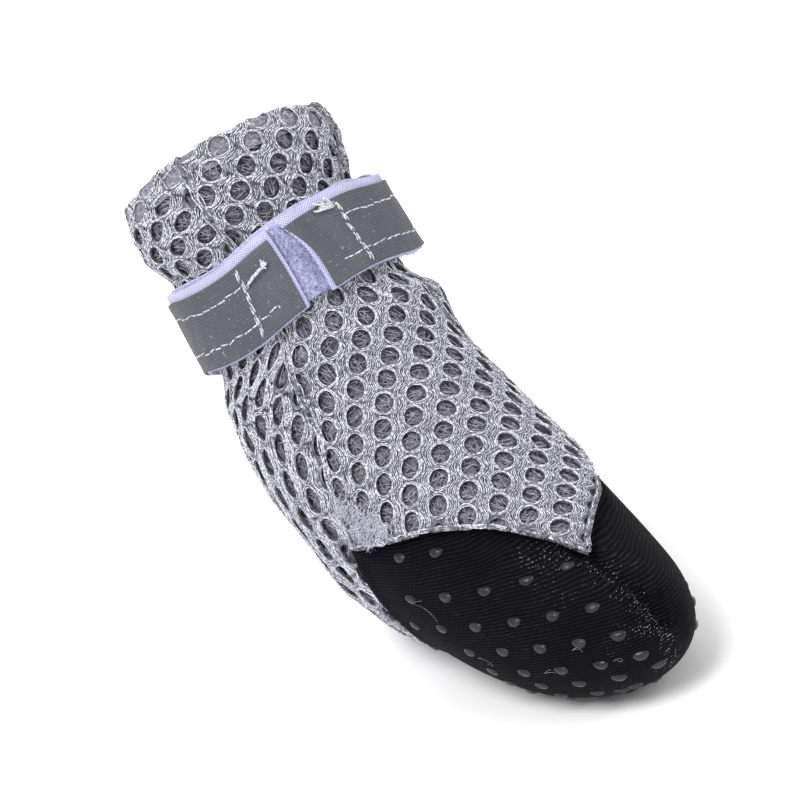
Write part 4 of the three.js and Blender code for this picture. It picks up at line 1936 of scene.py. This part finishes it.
    def sole_places(self) -> list[tuple[float, float]]:
        """Section and degrees of each dot on the underside.

        Returns:
            A pair for each dot.
        """
        places: list[tuple[float, float]] = []
        for row in range(9):
            section = 3.1 + 0.46 * row
            for column in range(-2, 3):
                across = (column + (0.5 if row % 2 else 0)) * 8.4
                reach = abs(self.last.point(section, math.pi / 2)[0])
                if abs(across) < reach * 0.72:
                    turn = 180 - math.degrees(math.asin(abs(across) / reach))
                    places.append((section, turn if across < 0 else -turn))
        return places

    def dome(self) -> tuple[Array, list[tuple[int, ...]]]:
        """One dot: its points in millimetres, and its faces.

        Returns:
            Points, one row each, and faces as numbers of points.
        """
        Workbench.clear_selection()
        bpy.ops.mesh.primitive_circle_add(vertices=14, radius=self.dot_radius, fill_type="NGON")
        dome = bpy.context.object
        bpy.ops.object.mode_set(mode="EDIT")
        bpy.ops.mesh.select_all(action="SELECT")
        for inset, rise in ((0.12, 0.3), (0.35, 0.22), (0.45, 0.1)):
            up = (0, 0, rise * self.dot_height / 0.62)
            bpy.ops.mesh.extrude_region_move(TRANSFORM_OT_translate={"value": up})
            bpy.ops.transform.resize(value=(1 - inset, 1 - inset, 1))
        bpy.ops.mesh.poke()
        bpy.ops.object.mode_set(mode="OBJECT")
        shape = Workbench.points_of(dome)
        faces = [tuple(p.vertices) for p in dome.data.polygons]
        bpy.data.objects.remove(dome)
        return shape, faces

    def make_dots(self, finishes: Finishes) -> bpy.types.Object:
        """The dots: the dome copied to each place, square to the knit.

        Args:
            finishes: The boot's materials.

        Returns:
            The piece.
        """
        shape, faces = self.dome()
        points: list[Array] = []
        all_faces: list[tuple[int, ...]] = []
        for section, degrees in self.dot_places() + self.sole_places():
            here, there, beside = (
                self.last.skin(at, turn, self.outside(at, turn), self.floor_rise)
                for at, turn in ((section, degrees), (section + 0.05, degrees), (section, degrees + 2))
            )
            ahead = there - here
            ahead /= np.linalg.norm(ahead) + 1e-9
            aside = beside - here
            out = np.cross(ahead, aside)
            out /= np.linalg.norm(out) + 1e-9
            aside = np.cross(out, ahead)
            uphill = np.array([ahead[2], aside[2]]) / (math.hypot(ahead[2], aside[2]) + 1e-6)
            tuck = np.maximum(shape[:, :2] @ uphill + 0.2, 0)[:, None] / self.dot_radius * self.dot_tuck
            tuck = tuck * (section > 2 or degrees < 150)
            local = here + shape[:, :1] * ahead + shape[:, 1:2] * aside + (shape[:, 2:3] - 0.12 - tuck) * out
            local[:, 2] = np.maximum(local[:, 2], 0.0)
            first = len(points) * len(shape)
            points.append(local)
            all_faces += [tuple(first + v for v in face) for face in faces]
        piece = Workbench.from_faces("grip_dots", self.last.placed(np.concatenate(points)), all_faces)
        Workbench.turn_out(piece)
        Workbench.soften(piece, 50)
        return Workbench.finish(piece, finishes.dot, "grip_knit")

    def seam_stitches(self, finishes: Finishes) -> bpy.types.Object:
        """Short black threads that cross the toe seam's furrow.

        Args:
            finishes: The boot's materials.

        Returns:
            The piece.
        """
        paths = []
        for section in np.arange(0.6, 4.9, 0.17):
            reach = np.abs(self.last.point(section, math.radians(8))[0]) / 8
            turn = np.linspace(-1.5, 1.5, 6) / max(reach, 0.05)
            run = section + 0.03 * np.sin(turn)
            height = self.outside(np.full(6, section), turn) + 0.12
            paths.append(self.last.laid(run, turn, height))
        return Workbench.threads("toe_seam_stitches", paths, 0.16, 5, finishes.knit, "grip_knit")

    def glints(self, finishes: Finishes) -> bpy.types.Object:
        """Painted highlights: bright filament tips in rows beside the toe seam, standing for glints of light
        on the knit.

        Args:
            finishes: The boot's materials.

        Returns:
            The piece.
        """
        random = np.random.default_rng(self.seed)
        paths = []
        steps = np.linspace(0, 1, 3)
        for row in np.arange(0.5, 4.9, 0.14):
            for side, reach, chance in ((Side.RIGHT, 5.5, 0.9), (Side.LEFT, 1.4, 0.1)):
                for across in np.arange(0.9, reach, 0.5):
                    if random.uniform() > chance * (1 - across / (reach + 0.5)) ** 1.4:
                        continue
                    wide = max(abs(float(self.last.point(row, math.radians(8))[0])) / 8, 0.05)
                    turn = side.value * (across + random.normal(0, 0.08)) / wide
                    at = row + random.normal(0, 0.006)
                    long = random.uniform(0.12, 0.3) / wide
                    turns = turn + side.value * long * steps
                    height = self.outside(np.full(3, at), turns) + 0.05
                    paths.append(self.last.laid(np.full(3, at), turns, height))
        return Workbench.threads("knit_glints", paths, 0.055, 4, finishes.strand, "grip_knit")

    def stray_hairs(self, finishes: Finishes) -> bpy.types.Object:
        """A few long curled hairs caught on the knit.

        Args:
            finishes: The boot's materials.

        Returns:
            The piece.
        """
        random = np.random.default_rng(self.seed + 1)
        paths = []
        run = np.linspace(0, 1, 30)
        places = (6.7, 80, 1.7), (4.3, 92, 1.2), (2.4, 84, 1.3), (5.6, 96, 1.0), (3.6, 70, 0.8)
        for section, degrees, size in places:
            bend = run * random.uniform(7, 10) + random.uniform(0, 6)
            at = section - size * 0.11 * np.sin(bend * 0.7) - run * size * 0.12
            turns = degrees + size * 1.6 * np.cos(bend) + run * size * 3.0
            height = self.outside(at, turns) + 0.1 + 0.25 * np.abs(np.sin(bend * 0.5))
            paths.append(self.last.laid(at, turns, height))
        return Workbench.threads("stray_hairs", paths, 0.022, 4, finishes.filament, "grip_knit")

    def build(self, finishes: Finishes) -> None:
        """Makes the pouch's pieces.

        Args:
            finishes: The boot's materials.
        """
        self.make_knit(finishes)
        self.make_dots(finishes)
        self.seam_stitches(finishes)
        self.glints(finishes)
        self.stray_hairs(finishes)


@dataclass
class Tab:
    """One free end of the strap: where it starts and ends, and how far its edge lifts."""

    side: Side
    start: float
    end: float
    lift: float
    start_high: float  # degrees that the free edge runs further at the strap's upper edge
    start_low: float  # and at its lower edge
    curl: float = 14.0

    def free_edge(self, share: Array) -> Array:
        """Degrees that the free edge departs from its start, from the lower edge to the upper."""
        return self.start_low + (self.start_high - self.start_low) * share**2.6

    @property
    def name(self) -> str:
        """The side, as the CAD nodes name it."""
        return self.side.name.lower()


@dataclass
class Strap:
    """The hook-and-loop strap round the ankle: a band, two tabs and their reflective tapes."""

    last: Last
    relief: Relief
    width: float = 18.0
    band_thickness: float = 1.1
    tab_thickness: float = 1.0
    tape_thickness: float = 0.45
    tape_inset: float = 1.1
    clearance: float = 0.4
    stand_off: float = 3.2
    seed: int = 23
    tape_drop: float = 0.7
    grain_radius: float = 22.0
    degree_span: float = 0.38
    cross_row: float = 22.0
    rows_end: float = 92.0
    tabs: tuple[Tab, ...] = (
        Tab(Side.RIGHT, 22, 174, 0.3, -1.0, -2.5),
        Tab(Side.LEFT, 8, -174, 1.8, 8.5, -0.5),
    )

    def inside(self, degrees: Array) -> Array:
        """The band's inside, measured from the last: slack on the boot's left.

        Args:
            degrees: Angles round the section.

        Returns:
            Millimetres out from the last.
        """
        turn = wrapped(degrees)
        slack = smooth(-turn, 25, 75) * (1 - smooth(-turn, 120, 165))
        return -self.relief.strap_pinch + self.clearance + self.stand_off * slack

    def point(self, degrees: Array, across: Array, distance: Array) -> Array:
        """Points of the strap, across it in millimetres from its middle, in metres.

        Args:
            degrees: Angles round the section.
            across: Millimetres across the strap from its middle.
            distance: Millimetres out from the last.

        Returns:
            The points, in metres.
        """
        middle = self.relief.strap_middle(degrees)
        section = middle + across / self.last.spacing(middle, degrees)
        return self.last.laid(section, degrees, distance)

    def tab_base(self, tab: Tab, degrees: Array, across: Array) -> Array:
        """The underside of a tab: it lies on the band and its free end curls up.

        Args:
            tab: The tab.
            degrees: Angles round the section.
            across: Millimetres across the strap from its middle.

        Returns:
            Millimetres out from the last.
        """
        from_end = np.abs(degrees - tab.start - tab.free_edge(np.clip(across / self.width + 0.5, 0, 1)))
        curl = (1 - smooth(from_end, 0, tab.curl)) * tab.lift
        curl = curl * (1 + 0.45 * np.sin(across / self.width * 5.0 + 0.6))
        ripple = 0.12 * np.sin(degrees * 0.21 + across * 0.3) * smooth(from_end, 3, 25)
        return self.inside(degrees) + self.band_thickness + self.clearance * 0.5 + curl + np.abs(ripple)

    def ribbon(
        self, name: str, degrees: Array, across: Array, distance: Array, thickness: float
    ) -> bpy.types.Object:
        """A placed grid given its thickness and rounded edges.

        Args:
            name: The grid's name.
            degrees: Angles round the section.
            across: Millimetres across the strap from its middle.
            distance: Millimetres out from the last.
            thickness: The strip's thickness in millimetres.

        Returns:
            The piece.
        """
        piece = bpy.data.objects[name]
        Workbench.move_points(piece, self.point(degrees, across, distance))
        Workbench.lay_map(piece, "Grain", np.radians(degrees) * self.grain_radius, across)
        Workbench.weld(piece)
        Workbench.turn_out(piece)
        Workbench.modify(piece, "SOLIDIFY", thickness=thickness * MM, offset=1.0)
        rounding = thickness * 0.28 * MM
        sharp = math.radians(50)
        Workbench.modify(
            piece, "BEVEL", width=rounding, segments=2, limit_method="ANGLE", angle_limit=sharp
        )
        Workbench.soften(piece, 50)
        self.declare(piece, degrees, across)
        return piece

    def declare(self, piece: bpy.types.Object, degrees: Array, across: Array) -> None:
        """Says what size a strap's strip was cut to: its width, and its length along the middle.

        Args:
            piece: The mesh object.
            degrees: Angles round the section.
            across: Millimetres across the strap from its middle.
        """
        turn = np.linspace(float(degrees.min()), float(degrees.max()), 400)
        line = self.point(turn, np.zeros(400), self.inside(turn) + self.band_thickness)
        length = float(np.linalg.norm(np.diff(line, axis=0), axis=1).sum())
        width = float(across.max() - across.min()) * MM
        LOG.info("%s: cut %.1f by %.1f mm", piece.name, width / MM, length / MM)

    def make_band(self, finishes: Finishes) -> bpy.types.Object:
        """The lavender loop band that goes all round.

        Args:
            finishes: The boot's materials.

        Returns:
            The piece.
        """
        piece, around, along = Workbench.cloth_grid("loop_band", 150, 12)
        degrees = around * 360
        across = (along - 0.5) * self.width * (1 - 0.02 * np.sin(degrees * 0.13))
        across = across + 0.5 + 0.15 * np.sin(np.radians(degrees) * 7)
        self.ribbon("loop_band", degrees, across, self.inside(degrees), self.band_thickness)
        return Workbench.finish(piece, finishes.loop, "loop_webbing", "strap_loop_band")

    def make_tab(self, tab: Tab, finishes: Finishes) -> None:
        """A lavender tab, its reflective tape and the tape's stitches.

        Args:
            tab: The tab.
            finishes: The boot's materials.
        """
        way = math.copysign(1, tab.end - tab.start)
        name = f"webbing_{tab.name}"
        piece, around, along = Workbench.cloth_grid(name, 96, 12)
        across = (along - 0.5) * self.width
        degrees = tab.start + (tab.end - tab.start) * around + tab.free_edge(along) * (1 - around) ** 2
        self.ribbon(name, degrees, across, self.tab_base(tab, degrees, across), self.tab_thickness)
        Workbench.finish(piece, finishes.webbing, "hook_webbing", f"strap_tab_{tab.name}")
        name = f"tape_{tab.name}"
        piece, around, along = Workbench.cloth_grid(name, 110, 16)
        across = (along - 0.5) * (self.width - 2 * self.tape_inset) - self.tape_drop
        first, final = tab.start + way * 2.0, tab.end - way * 3
        degrees = first + (final - first) * around + tab.free_edge(along) * (1 - around) ** 2
        top = self.tab_base(tab, degrees, across) + self.tab_thickness
        distance = top + 0.06 + self.puckers(tab, degrees, across)
        self.ribbon(name, degrees, across, distance, self.tape_thickness)
        Workbench.finish(piece, finishes.tape, "reflective_tape", f"reflective_tape_{tab.name}")

    def rows(self, tab: Tab) -> tuple[tuple[float, float, float, float], ...]:
        """Each stitch row of a tab: first angle and place across, last angle and place across.

        Args:
            tab: The tab.

        Returns:
            The rows, in degrees and millimetres.
        """
        way = math.copysign(1, tab.end - tab.start)
        cross = tab.start + way * self.cross_row
        far = tab.start + way * self.rows_end
        return (
            (cross - way * 1.0, 6.8, cross + way * 2.0, -7.4),
            (cross + way * 1.0, 3.2, far, 3.6),
            (cross - way * 11.0, -4.6, far, -4.9),
        )

    def puckers(self, tab: Tab, degrees: Array, across: Array) -> Array:
        """The tape dips under its stitch rows and swells between them.

        Args:
            tab: The tab.
            degrees: Angles round the section.
            across: Millimetres across the strap from its middle.

        Returns:
            Millimetres.
        """
        total = np.zeros_like(across)
        for a, p, b, q in self.rows(tab):
            span = max(math.hypot((b - a) * self.degree_span, q - p), 1e-6)
            ux, uy = (b - a) * self.degree_span / span, (q - p) / span
            dx, dy = (degrees - a) * self.degree_span, across - p
            far = dx * ux + dy * uy
            off = np.abs(dx * uy - dy * ux) + np.maximum(-far, 0) + np.maximum(far - span, 0)
            total = total - 0.16 * np.exp(-((off / 0.7) ** 2))
        return total + 0.16

    def stitches(self, tab: Tab) -> list[Array]:
        """The sewn rows, stitch by stitch, and their loose ends.

        Args:
            tab: The tab.

        Returns:
            The threads' paths, in metres.
        """
        random = np.random.default_rng(self.seed + tab.side.value)
        way = math.copysign(1, tab.end - tab.start)
        paths: list[Array] = []

        def over(degrees: Array, across: Array, height: Array) -> Array:
            """Points on the tape."""
            top = self.tab_base(tab, degrees, across) + self.tab_thickness + self.tape_thickness
            return self.point(degrees, across, top + self.puckers(tab, degrees, across) + height)

        for index, (a, p, b, q) in enumerate(self.rows(tab)):
            length = math.hypot((b - a) * self.degree_span, q - p)
            count = max(int(length / 2.1), 2)
            for k in range(count):
                share = (k + np.linspace(0.06, 0.95, 6)) / count
                swing = random.normal(0, 0.12)
                tilt = np.linspace(-1, 1, 6) * random.normal(0, 0.12)
                degrees = a + (b - a) * share
                across = p + (q - p) * share
                if index == 0:
                    degrees = degrees + (swing + tilt) * 2.5
                else:
                    across = across + swing + tilt
                height = 0.04 + 0.16 * np.sin(np.pi * np.linspace(0, 1, 6))
                paths.append(over(degrees, across, height))
                if index == 0:
                    paths.append(over(degrees + 1.0 * way, across - 0.4, height + 0.1))
        steps = np.linspace(0, 1, 14)
        cross = tab.start + way * 22
        if tab.side is Side.RIGHT:
            for ply in range(3):
                degrees = cross - way * (1 + 15 * steps)
                across = 2.2 + 1.7 * np.sqrt(steps) + 0.2 * np.sin(steps * 9 + ply * 2.1)
                height = 0.15 + 1.2 * np.sin(np.pi * steps * 0.8) + 0.15 * np.cos(steps * 9 + ply * 2.1)
                paths.append(over(degrees, across, height))
            for _ in range(26):
                turn = cross - way * (13 + random.uniform(0, 7) * steps[:6])
                across = 4.0 + random.normal(0, 1.1) * steps[:6]
                paths.append(over(turn, across, 0.9 + random.uniform(-0.6, 0.6) * steps[:6]))
            degrees = cross - way * (11.0 + 0.5 * steps[:6])
            paths.append(over(degrees, -4.6 - 1.6 * steps[:6], np.full(6, 0.1)))
        else:
            for _ in range(44):
                turn = cross - way * (2 + random.uniform(5, 18) * steps[:9])
                climb = 5.6 + random.uniform(1.0, 4.5) * steps[:9] ** 1.2
                lift = random.uniform(0.3, 1.2) * np.sin(np.pi * steps[:9]) + 0.2
                paths.append(over(turn, np.minimum(climb, 8.6), lift))
        return paths

    def make_stitches(self, finishes: Finishes) -> None:
        """The sewing of both tapes.

        Args:
            finishes: The boot's materials.
        """
        for tab in self.tabs:
            paths = self.stitches(tab)
            Workbench.threads(f"stitches_{tab.name}", paths, 0.17, 6, finishes.thread, "reflective_tape")

    def make_fuzz(self, finishes: Finishes) -> None:
        """Short curled hairs on the band in the gap between the tabs, and some at its edges.

        Args:
            finishes: The boot's materials.
        """
        random = np.random.default_rng(self.seed)
        paths: list[Array] = []
        steps = np.linspace(0, 1, 5)
        for k in range(2600):
            in_gap = k < 1700
            degrees = random.uniform(3, 27) if in_gap else random.uniform(-180, 180)
            if in_gap:
                across = random.uniform(-8.8, 8.8)
                up = 1.0
            else:
                across = random.choice([-1, 1]) * random.uniform(8.6, 9.1)
                up = random.uniform(0.1, 1)
            top = self.inside(np.array(degrees)) + self.band_thickness * up
            length = random.uniform(0.3, 0.95)
            curl = random.uniform(0, 6.3)
            bend = np.sin(steps * random.uniform(1.5, 4))
            turn = degrees + np.cos(curl) * bend * 1.6 * length
            outward = 0 if in_gap else np.sign(across) * steps * 0.35
            side = across + np.sin(curl) * bend * 0.6 * length + outward
            paths.append(self.point(turn, side, top + steps * length * (0.75 if in_gap else 0.3)))
        Workbench.threads("loop_fuzz", paths, 0.05, 3, finishes.loop, "loop_webbing", taper=True)

    def build(self, finishes: Finishes) -> None:
        """Makes the strap's pieces.

        Args:
            finishes: The boot's materials.
        """
        self.make_band(finishes)
        for tab in self.tabs:
            self.make_tab(tab, finishes)
        self.make_stitches(finishes)
        self.make_fuzz(finishes)


@dataclass(frozen=True)
class Lamp:
    """A soft square light: its place and size in metres, and its power in watts."""

    name: str
    place: tuple[float, float, float]
    size: float
    power: float


@dataclass
class Studio:
    """The floor, the soft lights and the camera."""

    elevation: float = 24.0
    heading: float = 27.4
    roll: float = 20.73
    distance: float = 0.8
    aim: tuple[float, float, float] = (0.0, 0.0, 0.055)
    off_centre: tuple[float, float] = (26.73, 2.87)
    pixels_per_mm: float = 4.9735
    frame_pixels: int = 800
    lamps: tuple[Lamp, ...] = (
        Lamp("key_light", (-0.55, -0.35, 0.85), 0.5, 9.0),
        Lamp("fill_light", (0.6, -0.8, 0.6), 0.7, 4.0),
        Lamp("back_light", (0.2, 0.8, 0.6), 0.6, 3.0),
    )

    def axes(self) -> tuple[Array, Array, Array]:
        """The camera's right, up and backward directions.

        Returns:
            Three unit vectors.
        """
        e, h, r = (math.radians(a) for a in (self.elevation, self.heading, self.roll))
        back = np.array([-math.sin(h) * math.cos(e), -math.cos(h) * math.cos(e), math.sin(e)])
        right = np.array([math.cos(h), -math.sin(h), 0.0])
        up = np.cross(back, right)
        return right * math.cos(r) - up * math.sin(r), right * math.sin(r) + up * math.cos(r), back

    def make_camera(self) -> None:
        """The camera at the photograph's angle, rolled as the photograph is."""
        right, up, back = self.axes()
        place = np.array(self.aim) + back * self.distance
        place = place - right * self.off_centre[0] / self.pixels_per_mm * MM
        place = place + up * self.off_centre[1] / self.pixels_per_mm * MM
        data = bpy.data.cameras.new("photo_camera")
        data.sensor_width = 36.0
        data.lens = self.pixels_per_mm * self.distance / MM / self.frame_pixels * data.sensor_width
        data.clip_start, data.clip_end = 0.05, 20.0
        camera = bpy.data.objects.new("photo_camera", data)
        turn = Matrix([[right[i], up[i], back[i]] for i in range(3)]).to_4x4()
        camera.matrix_world = Matrix.Translation(place.tolist()) @ turn
        bpy.context.scene.collection.objects.link(camera)
        bpy.context.scene.camera = camera

    def make_light(self, lamp: Lamp) -> None:
        """A light that looks at the boot.

        Args:
            lamp: Its settings.
        """
        data = bpy.data.lights.new(lamp.name, "AREA")
        data.shape = "SQUARE"
        data.size = lamp.size
        data.energy = lamp.power
        light = bpy.data.objects.new(lamp.name, data)
        light.location = lamp.place
        light.rotation_euler = (Vector(lamp.place) - Vector(self.aim)).to_track_quat("Z", "Y").to_euler()
        bpy.context.scene.collection.objects.link(light)

    def make_floor(self) -> None:
        """A plain pale floor."""
        Workbench.clear_selection()
        bpy.ops.mesh.primitive_plane_add(size=8.0, location=(0, 0, 0))
        floor = bpy.context.object
        floor.name = "floor"
        material, bench, shader = new_material("floor_white", Roughness=0.9, Specular_IOR_Level=0.1)
        soft = bench.noise(bench.millimetres(), 0.002, 1.0)
        bench.put(shader.inputs["Base Color"], bench.blend(soft, tone(250, 250, 251), tone(252, 252, 252)))
        floor.data.materials.append(material)

    def build(self) -> None:
        """Sets the whole stage."""
        self.make_floor()
        world = bpy.data.worlds.new("studio") if not bpy.context.scene.world else bpy.context.scene.world
        bpy.context.scene.world = world
        world.use_nodes = True
        background = world.node_tree.nodes["Background"]
        background.inputs["Color"].default_value = (1, 1, 1, 1)
        background.inputs["Strength"].default_value = 0.72
        for lamp in self.lamps:
            self.make_light(lamp)
        view = bpy.context.scene.view_settings
        view.view_transform = "Standard"
        view.look = "None"
        self.make_camera()


def main() -> None:
    """Builds the boot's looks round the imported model."""
    logging.basicConfig(level=logging.INFO, format="%(message)s")
    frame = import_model()
    tip = min(frame["nodes"]["sole"].data.vertices, key=lambda v: v.co.y).co
    last = Last()
    last.shift = (tip.x / MM, tip.y / MM - last.sections[0][0] * last.foot_length)
    relief = Relief(last)
    finishes = Finishes()
    for kind in PanelKind:
        MeshPanel(last, relief, kind).build(finishes)
    Lining(last, relief).build(finishes)
    MeshEdges(last, relief).build(finishes)
    GripPouch(last, relief).build(finishes)
    Strap(last, relief).build(finishes)
    Studio().build()


if __name__ == "__main__":
    main()
